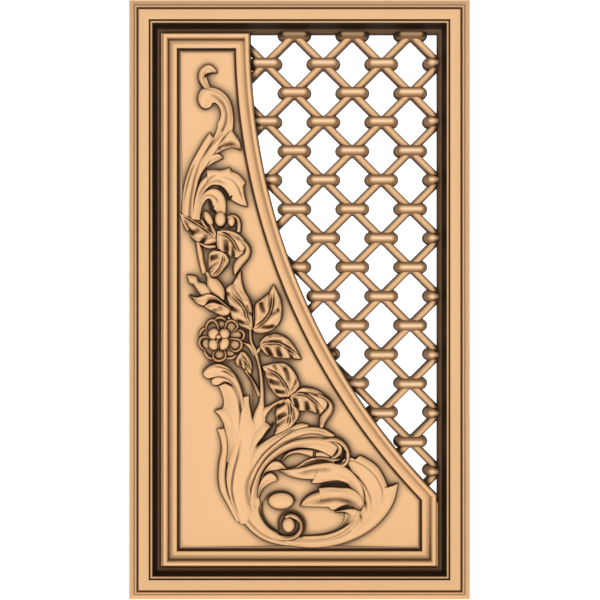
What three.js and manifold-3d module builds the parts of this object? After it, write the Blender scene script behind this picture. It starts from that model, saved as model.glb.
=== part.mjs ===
// Carved fretwork grille: a moulded frame, a carved panel with one hollow, bow-shaped side, and a diagonal
// lattice of bars and knots that fills the rest of the opening. It stands upright with +Z up and its carved
// face towards -Y. The origin is on the back of the frame, in the middle of the bottom rail.
import * as THREE from "three";
import { mergeVertices } from "three/addons/utils/BufferGeometryUtils.js";
import Module from "manifold-3d";

const wasm = await Module();
wasm.setup();

// Frame, in millimetres.
const frameWidth = 480;
const frameHeight = 843.5;
const frameThickness = 28;
const stileWidth = 43.7;
const lipHeight = 8; // back face to the underside of the lip that holds the panel and the lattice
const rebateWidth = 7.5; // how far the rebate runs in under the lip
const fitGap = 0.5; // clearance round what sits in a rebate

// Moulding of the frame: [in from the outer edge, down from the face].
const outerMoulding = [
  [0, 7.5],
  [2, 7],
  [6.8, 3.8],
  [7.4, 4.8],
  [9.8, 1.2],
  [13, 3.2],
  [15, 0.4],
];
// Moulding of the frame on its inner side: [back from the opening, down from the face].
const innerMoulding = [
  [21, 0],
  [14.7, 0.4],
  [13.7, 2.8],
  [11.7, 0.4],
  [9.9, 2],
  [5.7, 14.4],
  [2.7, 15.7],
  [0, 19.6],
];

// Carved panel.
const panelGap = 4; // dark line between the frame's opening and the panel
const panelTopWidth = 122.3;
const bowRadius = 919.8; // the hollow side of the panel is one arc, from its top edge to its right side
const bowFootHeight = 100; // where the arc meets the right side, from the panel's bottom edge
const bowSegments = 12;
const flangeThickness = 7.6; // the panel's back plate, which enters the frame's rebate
const groundHeight = 15.6; // back face to the flat ground behind the carving
// Moulding of the panel's border: [in from the panel's edge, height above the back face].
const borderMoulding = [
  [0, 24],
  [3.2, 27.8],
  [5.6, 26],
  [8.4, 18.5],
  [13.3, 20],
  [17.5, 20.2],
  [19.5, 18.6],
  [21.5, 14.9],
  [24.5, groundHeight],
];

// Lattice.
const knotPitch = 41.25; // half the distance between two knots of one row
const knotShiftX = -7.3; // the knot nearest the middle of the opening, from that middle
const knotShiftZ = 5;
const rimThickness = 7.3; // the rim behind the frame and the panel, which joins the ends of the bars
const rimShow = 0.9; // how far the rim shows inside the opening, so that the bars run into it
const edgeGap = 0.3; // clearance between the lattice and the edges that it meets
// Half section of a bar: [half width, height above the back face].
const barSection = [
  [6.1, 0],
  [2.8, 13.4],
];
// A knot, from its foot to its crown: [half length, half width, height above the back face].
const knotLevels = [
  [24.4, 9.75, 0],
  [19, 5.2, 17.4],
];
const knotCrown = [12, 20.2]; // half length and height of the line along the top
const knotCornerShare = [0.72, 0.42]; // where the corner between a knot's side and end lies

const weld = 0.05; // how far one solid enters the next where they are joined
const samePoint = 0.0001; // points closer than this are one
const woodTones = { frame: "#d9a877", panel: "#e3b281", lattice: "#c99863" };

const openingX = frameWidth / 2 - stileWidth;
const openingZ = frameHeight / 2 - stileWidth;
const panelX = openingX - panelGap;
const panelZ = openingZ - panelGap;
const bowCentre = arcCentre([panelTopWidth - panelX, panelZ], [panelX, bowFootHeight - panelZ], bowRadius);

// The centre, on the right of the way from one point to the other, of an arc with that radius through both.
function arcCentre([x1, z1], [x2, z2], radius) {
  const halfX = (x2 - x1) / 2;
  const halfZ = (z2 - z1) / 2;
  const away = Math.sqrt((radius * radius) / (halfX * halfX + halfZ * halfZ) - 1);
  return [x1 + halfX - halfZ * away, z1 + halfZ + halfX * away];
}

// Every form is drawn on the front: x to the right, z up and h out of the back face, towards -Y.
function solid(points, faces) {
  const corners = points.flatMap(([x, z, h]) => [x, -h, z]);
  const geometry = new THREE.BufferGeometry();
  geometry.setAttribute("position", new THREE.Float32BufferAttribute(corners, 3));
  geometry.setIndex(faces);
  const merged = mergeVertices(geometry, samePoint);
  const index = merged.index.array;
  const kept = [];
  for (let i = 0; i < index.length; i += 3) {
    const [a, b, c] = index.slice(i, i + 3);
    if (a !== b && b !== c && c !== a) kept.push(a, b, c);
  }
  const vertProperties = merged.attributes.position.array;
  const make = (corners) => {
    const triVerts = new Uint32Array(corners);
    return new wasm.Manifold(new wasm.Mesh({ numProp: 3, vertProperties, triVerts }));
  };
  const made = make(kept);
  return made.volume() > 0 ? made : make(kept.reverse());
}

// Quads between neighbouring rows of equal length; closed rows join their last point to their first.
function quads(rows, rowLength, closed, firstIndex = 0) {
  const faces = [];
  const last = closed ? rowLength : rowLength - 1;
  for (let i = 0; i < rows - 1; i++)
    for (let j = 0; j < last; j++) {
      const a = firstIndex + i * rowLength + j;
      const b = firstIndex + i * rowLength + ((j + 1) % rowLength);
      faces.push(a, b, b + rowLength, a, b + rowLength, a + rowLength);
    }
  return faces;
}

// Outline points, all at one height.
const raised = (outline, h) => outline.map(([x, z]) => [x, z, h]);

function flatFace(outline, firstIndex) {
  const shape = outline.map(([x, z]) => new THREE.Vector2(x, z));
  return THREE.ShapeUtils.triangulateShape(shape, []).flat().map((i) => i + firstIndex);
}

// A solid made of outlines with the same number of points, stacked from the back to the front.
function stack(levels) {
  const size = levels[0].length;
  const lastIndex = (levels.length - 1) * size;
  const back = flatFace(levels[0], 0).reverse();
  const front = flatFace(levels[levels.length - 1], lastIndex);
  return solid(levels.flat(), [...back, ...quads(levels.length, size, true), ...front]);
}

const prism = (outline, from, to) => stack([raised(outline, from), raised(outline, to)]);

const rectangle = (halfX, halfZ) => [
  [-halfX, -halfZ],
  [halfX, -halfZ],
  [halfX, halfZ],
  [-halfX, halfZ],
];

function makeFrame() {
  const profile = [
    [0, 0],
    ...outerMoulding.map(([across, down]) => [across, frameThickness - down]),
    ...innerMoulding.map(([back, down]) => [stileWidth - back, frameThickness - down]),
    [stileWidth, lipHeight],
    [stileWidth - rebateWidth, lipHeight],
    [stileWidth - rebateWidth, 0],
  ];
  const corners = rectangle(1, 1);
  const rings = [...corners, corners[0]].map(([signX, signZ]) =>
    profile.map(([inset, h]) => [
      signX * (frameWidth / 2 - inset),
      signZ * (frameHeight / 2 - inset),
      h,
    ]),
  );
  return solid(rings.flat(), quads(rings.length, profile.length, true));
}

// Points of the panel's arc, moved away from the arc's centre by inset, from the right side to the top edge.
function bow(inset, right, top) {
  const radius = bowRadius + inset;
  const from = Math.acos((right - bowCentre[0]) / radius);
  const to = Math.PI - Math.asin((top - bowCentre[1]) / radius);
  return Array.from({ length: bowSegments + 1 }, (_, i) => {
    const angle = THREE.MathUtils.lerp(-from, to - 2 * Math.PI, i / bowSegments);
    return [bowCentre[0] + radius * Math.cos(angle), bowCentre[1] + radius * Math.sin(angle)];
  });
}

// The panel's outline, moved inwards by inset on the straight sides and by bowInset on the arc.
function panelOutline(inset, bowInset = inset) {
  const x = panelX - inset;
  const z = panelZ - inset;
  return [[-x, -z], [x, -z], ...bow(bowInset, x, z), [-x, z]];
}

// The lattice's share of the opening: the rectangle moved outwards by grow, cut by the arc moved by bowInset.
function latticeOutline(grow, bowInset) {
  const x = openingX + grow;
  const z = openingZ + grow;
  return [[x, z], ...bow(bowInset, x, z).reverse()];
}

// The carver's drawing is this many units high, from the panel's bottom edge to its top edge, and the carving
// keeps its proportions with it. The panel's lower left corner lies at this point of the drawing.
const drawingHeight = 531.7;
const drawingCorner = [162.8, 565.5];
const drawingUnit = (2 * panelZ) / drawingHeight;
const place = ([x, y]) => [
  -panelX + (x - drawingCorner[0]) * drawingUnit,
  -panelZ + (drawingCorner[1] - y) * drawingUnit,
];

const bedding = 1; // how deep a carved form reaches into the ground
const draft = 1.3; // how far its walls spread towards the ground
const narrowest = 1; // width left at a pointed tip
const stationLength = 32; // distance between two sections of a carved form

// Shares of a form's rise, from its left outline to its right one.
const sections = {
  round: [0.55, 1, 0.55],
  hollow: [0.6, 1, 0.85, 0.6],
  ridgeLeft: [0.75, 1, 0.5],
  ridgeRight: [0.5, 1, 0.75],
  leaf: [0.6, 1, 0.7, 1, 0.6],
};

const curveThrough = (points) =>
  new THREE.CatmullRomCurve3(points.map(place).map(([x, z]) => new THREE.Vector3(x, z, 0)));

// A carved form between two outlines that run from its base to its tip. It stands on the ground of the panel,
// rises by rise along the middle of its length, and keeps the share base of that at its base, tip at its tip.
// Its sections follow one another by stationLength, or there are as many as steps says.
function form({ left, right, rib, rise, section = "hollow", base = 1, tip = 0.75, steps = 0 }) {
  const leftCurve = curveThrough(left);
  const rightCurve = curveThrough(right);
  const longest = Math.max(leftCurve.getLength(), rightCurve.getLength());
  const stations = steps || Math.max(3, Math.round(longest / stationLength));
  const leftPoints = leftCurve.getSpacedPoints(stations);
  const rightPoints = rightCurve.getSpacedPoints(stations);
  const ribPoints = rib ? curveThrough(rib).getSpacedPoints(stations) : null;
  const shares = sections[section];
  const top = [];
  const foot = [];
  for (let i = 0; i <= stations; i++) {
    const a = leftPoints[i];
    const b = rightPoints[i];
    const across = b.clone().sub(a);
    if (across.length() < narrowest) {
      const along = leftPoints[Math.min(i + 1, stations)].clone().sub(leftPoints[Math.max(i - 1, 0)]);
      across.set(along.y, -along.x, 0).setLength(narrowest);
      const middle = a.clone().add(b).multiplyScalar(0.5);
      a.copy(middle).addScaledVector(across, -0.5);
      b.copy(middle).addScaledVector(across, 0.5);
    }
    const t = i / stations;
    const swell = t < 0.5 ? THREE.MathUtils.lerp(base, 1, 2 * t) : THREE.MathUtils.lerp(1, tip, 2 * t - 1);
    shares.forEach((share, j) => {
      const s = j / (shares.length - 1);
      const point = a.clone().lerp(b, s);
      if (ribPoints && s === 0.5 && i > 0 && i < stations) point.copy(ribPoints[i]);
      top.push([point.x, point.y, groundHeight + rise * swell * share]);
    });
    const spread = b.clone().sub(a).setLength(draft);
    foot.push([a.x - spread.x, a.y - spread.y, groundHeight - bedding]);
    foot.push([b.x + spread.x, b.y + spread.y, groundHeight - bedding]);
  }
  const width = shares.length;
  const faces = quads(stations + 1, width, false);
  const firstFoot = top.length;
  faces.push(...quads(stations + 1, 2, false, firstFoot).reverse());
  for (let i = 0; i < stations; i++) {
    const footLeft = firstFoot + 2 * i;
    const topLeft = i * width;
    const topRight = topLeft + width - 1;
    faces.push(topLeft, topLeft + width, footLeft, footLeft, topLeft + width, footLeft + 2);
    faces.push(topRight + width, topRight, footLeft + 1, topRight + width, footLeft + 1, footLeft + 3);
  }
  for (const [row, flip] of [[0, false], [stations, true]]) {
    const footLeft = firstFoot + 2 * row;
    const end = [];
    for (let j = 0; j < width - 1; j++) end.push([row * width + j + 1, row * width + j, footLeft]);
    end.push([row * width + width - 1, footLeft, footLeft + 1]);
    end.forEach((face) => faces.push(...(flip ? face.reverse() : face)));
  }
  return solid([...top, ...foot], faces);
}

// A berry, bud or petal: an oval with rings of [share of the radius, share of the rise], outermost first.
const berryRings = [
  [1, 0.45],
  [0.72, 0.86],
];
const cupRings = [
  [1, 0.7],
  [0.78, 1],
];
const flatRings = [[1, 1]];
function oval({ centre, radii, turn = 0, rise, rings = berryRings, middle = 1, sides = 8 }) {
  const outline = (share, h) =>
    Array.from({ length: sides }, (_, i) => {
      const angle = (2 * Math.PI * i) / sides;
      const across = radii[0] * share * Math.cos(angle);
      const along = radii[1] * share * Math.sin(angle);
      const lean = THREE.MathUtils.degToRad(turn);
      const [x, z] = place([
        centre[0] + across * Math.cos(lean) + along * Math.sin(lean),
        centre[1] + across * Math.sin(lean) - along * Math.cos(lean),
      ]);
      return [x, z, h];
    });
  const spread = 1 + draft / (drawingUnit * Math.max(...radii));
  const levels = [
    outline(spread, groundHeight - bedding),
    ...rings.map(([share, up]) => outline(share, groundHeight + rise * up)),
  ];
  const [x, z] = place(centre);
  const points = [...levels.flat(), [x, z, groundHeight + rise * middle]];
  const crown = points.length - 1;
  const lastRing = crown - sides;
  const faces = [...flatFace(levels[0], 0).reverse(), ...quads(levels.length, sides, true)];
  for (let i = 0; i < sides; i++) faces.push(lastRing + i, lastRing + ((i + 1) % sides), crown);
  return solid(points, faces);
}

function makeKnot(x, z) {
  const levels = knotLevels.map(([halfLength, halfWidth, h]) => {
    const [endShare, sideShare] = knotCornerShare;
    const corner = [halfLength * endShare, halfWidth];
    const end = [halfLength, halfWidth * sideShare];
    const quarter = [end, corner];
    return [
      ...quarter.map(([a, b]) => [x + a, z + b, h]),
      ...quarter.map(([a, b]) => [x - a, z + b, h]).reverse(),
      ...quarter.map(([a, b]) => [x - a, z - b, h]),
      ...quarter.map(([a, b]) => [x + a, z - b, h]).reverse(),
    ];
  });
  const size = levels[0].length;
  const [crownHalf, crownHeight] = knotCrown;
  const points = [...levels.flat(), [x + crownHalf, z, crownHeight], [x - crownHalf, z, crownHeight]];
  const right = points.length - 2;
  const left = points.length - 1;
  const rim = (levels.length - 1) * size;
  const towards = [right, left, left, left, left, right, right, right];
  const upperCorner = 1;
  const lowerCorner = 5;
  const faces = [...flatFace(levels[0], 0).reverse(), ...quads(levels.length, size, true)];
  for (let i = 0; i < size; i++) faces.push(rim + i, rim + ((i + 1) % size), towards[i]);
  faces.push(left, right, rim + upperCorner);
  faces.push(right, left, rim + lowerCorner);
  return solid(points, faces);
}

// One bar at 45 degrees through the point [x, z], leaning to the right or, with lean -1, to the left.
function makeBar(x, z, lean) {
  const reach = frameHeight;
  const section = [
    ...barSection.map(([half, h]) => [half, h]),
    ...barSection.map(([half, h]) => [-half, h]).reverse(),
  ];
  const ends = [-reach, reach].map((along) =>
    section.map(([across, h]) => [
      x + (along - lean * across) * Math.SQRT1_2,
      z + (lean * along + across) * Math.SQRT1_2,
      h,
    ]),
  );
  const size = section.length;
  const cap = Array.from({ length: size - 2 }, (_, i) => [0, i + 1, i + 2]).flat();
  const faces = [...cap.map((i) => i + size), ...quads(2, size, true), ...cap.reverse()];
  return solid(ends.flat(), faces);
}

function makeLattice() {
  const columns = Math.ceil(openingX / knotPitch) + 1;
  const rows = Math.ceil(openingZ / knotPitch) + 1;
  const [halfLength] = knotLevels[0];
  const knots = [];
  const bars = [];
  for (let column = -columns; column <= columns; column++)
    for (let row = -rows; row <= rows; row++) {
      if ((column + row) % 2 === 0) continue;
      const x = knotShiftX + column * knotPitch;
      const z = knotShiftZ + row * knotPitch;
      const fromBow = Math.hypot(x - bowCentre[0], z - bowCentre[1]);
      const shows = fromBow < bowRadius + halfLength / 2 && x < openingX + halfLength / 2;
      if (shows) knots.push(makeKnot(x, z));
    }
  const slants = columns + rows;
  for (let slant = -slants; slant <= slants; slant++) {
    if (slant % 2 === 0) continue;
    const z = knotShiftZ + slant * knotPitch;
    bars.push(makeBar(knotShiftX, z, 1), makeBar(knotShiftX, z, -1));
  }
  const window = prism(latticeOutline(-edgeGap, -edgeGap), 0, frameThickness);
  const fretwork = wasm.Manifold.union([...knots, ...bars]).intersect(window);
  const rimOutside = latticeOutline(rebateWidth - fitGap, rebateWidth - fitGap);
  const rimInside = latticeOutline(-rimShow, -rimShow);
  const rim = prism(rimOutside, 0, rimThickness).subtract(prism(rimInside, -weld, frameThickness));
  return fretwork.add(rim);
}

// The outlines of the carving, in units of the drawing: x to the right and y down.
const carving = {
  hookCurl: {
    left: [[203.5, 88], [199, 81], [198, 75], [200.5, 68], [208.5, 63.8], [214, 67], [217, 71.5]],
    right: [[210.5, 88], [208.2, 82], [206.8, 77.5], [207.5, 75], [211, 73], [214.5, 72.3], [217, 71.8]],
    rise: 6.5,
  },
  voluteStem: {
    left: [
      [231, 133], [233.3, 117], [229, 99], [220, 90], [209, 87], [201.5, 89.5], [198, 95.5], [198.3, 102],
      [201.5, 107], [205.5, 108.6],
    ],
    right: [
      [214, 136], [217, 128], [219.3, 121.5], [221, 114], [219.3, 107], [215.5, 102.6], [212.3, 102.8],
      [210.5, 106.2], [205.7, 108.8],
    ],
    rise: 7.5,
    section: "ridgeLeft",
  },
  upperSweepLeft: {
    left: [
      [181, 213], [182, 198], [184, 185], [187.5, 172], [192, 161], [198, 150], [204, 139],
      [209.5, 132],
    ],
    right: [
      [190, 213], [191, 201], [193, 188], [196, 175], [201, 163], [206, 152], [211, 143],
      [213.6, 137.8],
    ],
    rise: 6,
    section: "round",
  },
  upperSweep: {
    left: [[188, 213], [189, 201], [191, 188], [194, 174], [199, 161], [206, 149], [213, 138], [217, 129]],
    right: [
      [193, 214], [194.5, 201], [197, 188], [201, 175], [209, 163], [217, 150], [224, 139],
      [229, 131],
    ],
    rise: 7,
    section: "ridgeRight",
  },
  upperLobe: {
    left: [[207, 143], [217, 136], [226, 133], [233, 134], [238.5, 140], [241.3, 149.3]],
    right: [[201, 168], [210, 158], [218, 152.5], [226, 148.3], [233, 147], [241.3, 149.5]],
    rise: 8,
    section: "ridgeLeft",
  },
  upperBarb: {
    left: [[203, 160], [212, 154.5], [218.5, 153.5], [223.3, 157.5]],
    right: [[200, 174], [207, 167], [214, 162], [223.3, 157.8]],
    rise: 6.5,
    section: "ridgeLeft",
  },
  canopy: {
    left: [
      [191.5, 214], [195, 195], [200, 182], [207, 171], [218, 169.6], [229.3, 167.6], [238, 173.8],
      [245, 182.4], [244.2, 193], [247.5, 206.3],
    ],
    right: [
      [199, 214], [201, 200], [205, 191], [212, 185], [219, 185.5], [226, 191], [232, 199],
      [247, 206.5],
    ],
    rise: 7.5,
  },
  canopyInner: {
    left: [
      [195, 214], [199, 200], [205, 191.5], [213, 188], [219.5, 190], [224, 195.5], [226, 204],
      [225.5, 214],
    ],
    right: [[200.5, 214], [202.5, 205], [206, 199.8], [209.5, 199], [212, 203], [213, 208], [217, 214]],
    rise: 6.5,
  },
  berryCurl: {
    left: [[226, 217], [228.5, 215.3], [233, 214.2], [238.5, 217], [241, 224], [240.5, 232.5]],
    right: [[229, 219], [231.5, 217.8], [233.5, 217.3], [236, 219.5], [237, 224], [236, 232.5]],
    rise: 7.5,
    section: "round",
  },
  leafA: {
    left: [
      [216.5, 242], [211, 244], [205, 244.5], [199, 243], [193, 239], [188.5, 233], [184, 226],
      [178.5, 212.6],
    ],
    right: [
      [216, 231], [213, 226], [208, 221], [203, 220], [199, 218.5], [194, 216.5], [186, 215.5],
      [178.5, 212.3],
    ],
    rib: [[215.5, 238], [208, 231.5], [200, 225], [190, 219.5], [179, 213]],
    rise: 9.5,
    section: "leaf",
  },
  leafB: {
    left: [[216.5, 231], [224, 229.5], [231, 230.5], [238, 233.5], [244, 239], [249, 246]],
    right: [[216.5, 242], [217, 247], [221, 251.3], [226, 252.5], [232, 257.5], [240, 257], [247, 249]],
    rib: [[217.5, 232], [227, 235.5], [233, 242], [240, 254]],
    rise: 10,
    section: "leaf",
  },
  leafBFold: {
    left: [[243, 239], [248, 244], [250.5, 250], [249, 257], [243, 264.5], [239, 270], [235.3, 275.5]],
    right: [[241, 243], [245, 248], [244, 253], [237.5, 258], [233.8, 264], [233, 270], [234, 275.5]],
    rise: 9,
    section: "round",
  },
  leafC: {
    left: [[227, 256], [229, 261], [223, 270], [217, 276], [210.5, 277.5]],
    right: [[212, 250.5], [208.5, 255], [208, 263], [208.5, 270], [209.5, 277.5]],
    rib: [[222, 252], [222, 262], [218, 270], [210, 277.5]],
    rise: 8,
    section: "leaf",
  },
  twigLong: {
    left: [[195.5, 242], [197, 253], [199, 263], [201.5, 274]],
    right: [[200, 243], [202.5, 252], [204, 262], [207, 273]],
    rise: 6,
    section: "round",
  },
  twigBent: {
    left: [[199, 244], [207, 248.5], [216, 248]],
    right: [[199, 242], [208, 244.5], [216, 244.5]],
    rise: 6,
    section: "round",
  },
  budLeft: {
    left: [[211, 291], [209, 287], [205, 283.7], [198.5, 281], [196.5, 276.5], [192, 275], [186.5, 274.6]],
    right: [[209, 294], [202, 296], [199, 293], [196, 289], [193, 284.7], [189.3, 283], [186.5, 275.2]],
    rise: 8,
    section: "round",
  },
  budRight: {
    left: [[222, 300], [216, 296], [210, 291.5], [206.8, 285], [206.5, 278], [204, 272]],
    right: [[225, 299], [224.5, 290], [221.5, 284], [217, 279], [212, 277], [208.5, 271]],
    rise: 9.5,
    section: "round",
  },
  leafDFold: {
    left: [[231, 308.5], [223, 301.5], [216, 296], [208, 293], [202, 295.5], [196, 297], [189, 295]],
    right: [[230, 311], [223, 305.5], [216, 300.5], [209, 300], [204, 305.5], [198, 304], [189, 295.2]],
    rise: 10,
    section: "ridgeLeft",
  },
  leafD: {
    left: [[231, 309.5], [224, 304.5], [217, 301], [210, 301], [204.5, 304.5]],
    right: [[231, 311], [228, 315], [222, 316], [215.5, 313], [210, 310.5], [204.5, 307]],
    rise: 8.5,
    section: "leaf",
  },
  leafE: {
    left: [
      [250, 331], [241, 326], [232.5, 319], [230, 309], [227, 298], [226, 288.5], [232.5, 283],
      [240.3, 271],
    ],
    right: [[253, 331], [252.7, 320], [252, 308], [249.5, 299.5], [245, 292], [242.5, 285], [240.8, 271]],
    rib: [[251.5, 329], [250, 322], [246, 314], [242, 305], [236, 298], [234, 290], [240.5, 271]],
    rise: 10.5,
    section: "leaf",
  },
  leafF: {
    left: [
      [252, 330.5], [254, 325], [254.5, 314], [255.5, 304.5], [263.5, 297.5], [269, 292.5],
      [273.3, 284.5],
    ],
    right: [
      [255, 332.7], [262, 333.5], [272, 330], [279.5, 322], [281.5, 314], [280.5, 300],
      [273.8, 284.5],
    ],
    rib: [[253, 329], [262, 321], [268, 315], [271, 308], [272.5, 300], [273.5, 285]],
    rise: 10,
    section: "leaf",
  },
  leafG: {
    left: [
      [260.5, 341], [264, 337], [270, 334.5], [276, 333.8], [283, 336], [289, 340], [294, 346],
      [301.5, 359.3],
    ],
    right: [[260, 348], [264, 352.5], [269, 356], [275, 357.5], [281, 358.5], [288, 358.5], [301.5, 359.6]],
    rib: [[260, 346], [266, 343.5], [275, 343], [283, 344.5], [290, 349], [301, 359]],
    rise: 9.5,
    section: "leaf",
  },
  leafH: {
    left: [[241, 351.5], [245, 352], [248, 356], [251, 361], [252, 367], [251.3, 374.3]],
    right: [[239.5, 353.5], [236, 358], [235, 362], [238, 366], [243, 368.5], [250.8, 374.5]],
    rib: [[240.5, 353], [244, 358.5], [247, 364], [251, 374]],
    rise: 8.5,
    section: "leaf",
  },
  leafI: {
    left: [
      [290, 396], [297, 390], [299.5, 385], [297, 377], [291, 368], [284, 363.3], [275, 363],
      [262, 366.3],
    ],
    right: [[288.5, 397.5], [279, 397], [274, 393], [270, 387], [267, 380], [264.5, 373], [262, 366.8]],
    rib: [[289.5, 395], [286, 385], [280, 377], [272, 371], [262.5, 366.5]],
    rise: 10,
    section: "leaf",
  },
  leafK: {
    left: [[286, 398.5], [279, 403], [276.5, 408], [275.5, 415], [276, 421], [276, 428], [274.3, 435]],
    right: [
      [289.5, 398.5], [294, 405], [298.5, 409.5], [299.5, 415], [296, 421], [290, 428],
      [274.7, 435.3],
    ],
    rib: [[288, 399], [290, 408], [289.5, 417], [286, 425], [274.5, 435]],
    rise: 10,
    section: "leaf",
  },
  leafL: {
    left: [[291, 394.5], [297, 391], [303, 387.5], [310, 388], [316, 389.7], [322, 393], [329, 400]],
    right: [[289.5, 397.5], [292, 403], [297, 410], [305, 411], [312, 411.5], [319.5, 414.5], [327, 407]],
    rib: [[291, 396], [300, 394], [308, 397], [315, 402], [326, 411]],
    rise: 9.5,
    section: "leaf",
  },
  leafLFold: {
    left: [[318, 392], [325, 396], [331, 401], [333.5, 407], [331.5, 414], [326.5, 421], [323.5, 428]],
    right: [[318, 397], [323, 398.5], [327, 402], [327, 406.5], [323, 411.5], [320, 417], [319, 428]],
    rise: 9,
    section: "round",
  },
  mainStem: {
    left: [
      [248.5, 330], [249, 340], [252, 350], [256.5, 362], [259, 376], [259.5, 390], [258.5, 404],
      [254, 426],
    ],
    right: [
      [251.5, 330], [253, 342], [257, 350], [259.5, 360], [262.5, 374], [264, 390], [264.5, 406],
      [266, 424],
    ],
    rise: 6.5,
    section: "round",
  },
  flowerTwig: {
    left: [[243, 343.5], [249, 349], [254, 358]],
    right: [[244, 342], [251, 344], [256, 351]],
    rise: 5.5,
    section: "round",
  },
  leafHTwig: {
    left: [[247, 369.5], [252, 377], [256, 384], [261, 394]],
    right: [[244.3, 371], [249, 379], [254, 388], [258, 398]],
    rise: 6,
    section: "round",
  },
  leafGTwig: {
    left: [[254, 350], [257, 348.5], [261, 345]],
    right: [[257, 356], [259.5, 352], [262, 349]],
    rise: 6,
    section: "round",
  },
  leafKTwig: {
    left: [[262, 408], [268, 406], [277, 401], [288, 397]],
    right: [[264, 421], [268, 413], [275, 406], [289, 400.5]],
    rise: 6,
    section: "round",
  },
  lowerCurlTop: {
    left: [
      [246, 430], [245, 412], [243.5, 398], [241.3, 388], [236, 376.3], [228, 367.3], [219, 363.6],
      [211, 365], [205.3, 368.8], [203, 372.6], [204, 376],
    ],
    right: [
      [240, 430], [240, 412], [237, 397], [232, 386], [226, 379], [219, 377], [212.5, 378], [207.5, 378.5],
      [204.2, 376.5],
    ],
    rise: 9,
    base: 0.3,
  },
  lowerCurl: {
    left: [[242, 412], [239, 395], [231, 381], [223, 377], [216, 376.5], [211, 380]],
    right: [[240.5, 410], [237, 391.5], [230, 384], [224, 382], [218, 385], [213, 385], [211, 381.5]],
    rise: 8,
  },
  lowerLeafLeft: {
    left: [[226, 462], [227.5, 445], [224, 426], [221, 414], [223.5, 404], [222.5, 396], [218.5, 386]],
    right: [[237, 462], [241, 440], [241, 420], [240.5, 406], [238, 395], [233, 387], [225, 383]],
    rise: 7,
    section: "ridgeRight",
  },
  lowerBarbLeft: {
    left: [[228, 434], [224, 425], [219, 416], [214, 411.3]],
    right: [[236, 418], [230, 410], [222, 408.7], [214.3, 410.7]],
    rise: 6,
    section: "round",
  },
  lowerStrip: {
    left: [
      [236, 522], [226, 503], [220, 491], [218, 477], [219, 462], [221.3, 449], [219.5, 437],
      [216.5, 429],
    ],
    right: [
      [241, 522], [233, 505], [228, 493], [225.5, 478], [226.5, 462], [228, 448], [227, 437],
      [224.5, 428.5],
    ],
    rise: 5.5,
    section: "round",
  },
  lowerBody: {
    left: [[240, 524], [230, 500], [226, 480], [228, 462], [232, 446], [236, 430], [240, 412], [242, 397]],
    right: [
      [262, 524], [254, 505], [250, 488], [252, 470], [254, 449], [251, 432], [250, 415],
      [249.5, 395.5],
    ],
    rise: 8,
  },
  lowerLobeRight: {
    left: [
      [246, 462], [249, 445], [252, 432], [254, 420], [255.5, 413], [260, 412], [266, 422],
      [271, 425.5],
    ],
    right: [[252, 468], [253.5, 455], [255, 448], [258.5, 442.5], [263, 437], [267, 431], [271, 426.5]],
    rise: 7,
  },
  scrollBack: {
    left: [
      [242, 490], [246, 468], [254, 449.5], [264, 441.5], [275, 435], [290, 427], [300, 423.5],
      [308, 424],
    ],
    right: [[250, 495], [254, 474], [262, 459], [272, 448], [284, 439], [295, 433], [303, 430], [309, 427]],
    rise: 7,
    section: "round",
  },
  scrollMiddle: {
    left: [
      [244, 500], [250, 475], [262, 455], [276, 442], [292, 431], [307, 427], [322, 428],
      [335, 434.7],
    ],
    right: [
      [250, 503], [257, 480], [267, 461], [280, 449], [295, 441], [310, 438], [322, 438.5],
      [333, 438.5],
    ],
    rise: 8.5,
  },
  scrollFront: {
    left: [
      [248, 512], [252, 485], [262, 463], [277, 448], [293, 440], [310, 437], [327, 438],
      [340, 444.5],
    ],
    right: [
      [260, 506], [258.5, 488], [264, 470], [277, 457], [292, 449.5], [306, 448], [320, 451],
      [333, 458],
    ],
    rise: 9.5,
  },
  scrollCurl: {
    left: [[322, 438], [336, 437.5], [345, 443], [350, 453], [349, 462], [343, 468], [335.5, 467.5]],
    right: [[322, 443], [334, 443], [341, 448], [344, 454], [343.5, 460], [340, 463.5], [335.7, 466]],
    rise: 10,
    section: "round",
  },
  scrollRoll: {
    left: [[337, 441.5], [342.5, 446], [342, 453], [337, 458], [331.5, 459.7]],
    right: [[330, 441], [337, 447], [337, 451], [334, 455], [330.5, 457]],
    rise: 10,
    section: "round",
  },
  scrollTongue: {
    left: [[281, 459.5], [288, 452.5], [298, 449.5], [307, 449.5], [314, 450.5]],
    right: [[282, 461], [289, 455.5], [297, 453.5], [305, 455], [312.5, 457.5]],
    rise: 6,
    section: "round",
  },
  smallLobeUpper: {
    left: [[261, 478], [266, 468], [272, 461.8], [279, 461.5], [287.5, 469.8]],
    right: [[262, 480], [266, 473], [273, 470.7], [280, 470], [287.3, 470.3]],
    rise: 6.5,
    section: "ridgeLeft",
  },
  smallLobeLower: {
    left: [[257, 498], [259, 485], [264, 476], [271, 473], [276, 476.5], [277.5, 481]],
    right: [[259, 498], [262, 490], [266, 486], [271, 483], [277.3, 481.4]],
    rise: 6.5,
    section: "ridgeLeft",
  },
  cradle: {
    left: [[236, 505], [240, 516], [247, 527], [257, 536], [268, 542], [280, 545]],
    right: [[257, 497], [261, 509], [265, 519], [271, 527], [278, 533], [286, 539]],
    rise: 7.5,
  },
  voluteRing: {
    left: [
      [262, 531], [275, 539], [288, 541.5], [298, 537.5], [303, 530], [302, 521], [296, 515.5],
      [288.5, 515.5],
    ],
    right: [
      [266, 525], [276, 532.5], [286, 536], [294, 534.5], [299, 528], [298, 522], [294, 519.5],
      [289, 519.5],
    ],
    rise: 8.5,
    section: "round",
  },
  lowerFan: {
    left: [
      [290, 546.3], [312, 548.3], [332, 546.3], [352, 540.3], [371, 529.8], [386, 515], [394, 501],
      [398.3, 483.6], [388, 487.6], [384.5, 478.5], [378, 467.5], [369.5, 460.5], [360, 455.5],
      [350.5, 457],
    ],
    right: [
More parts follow.
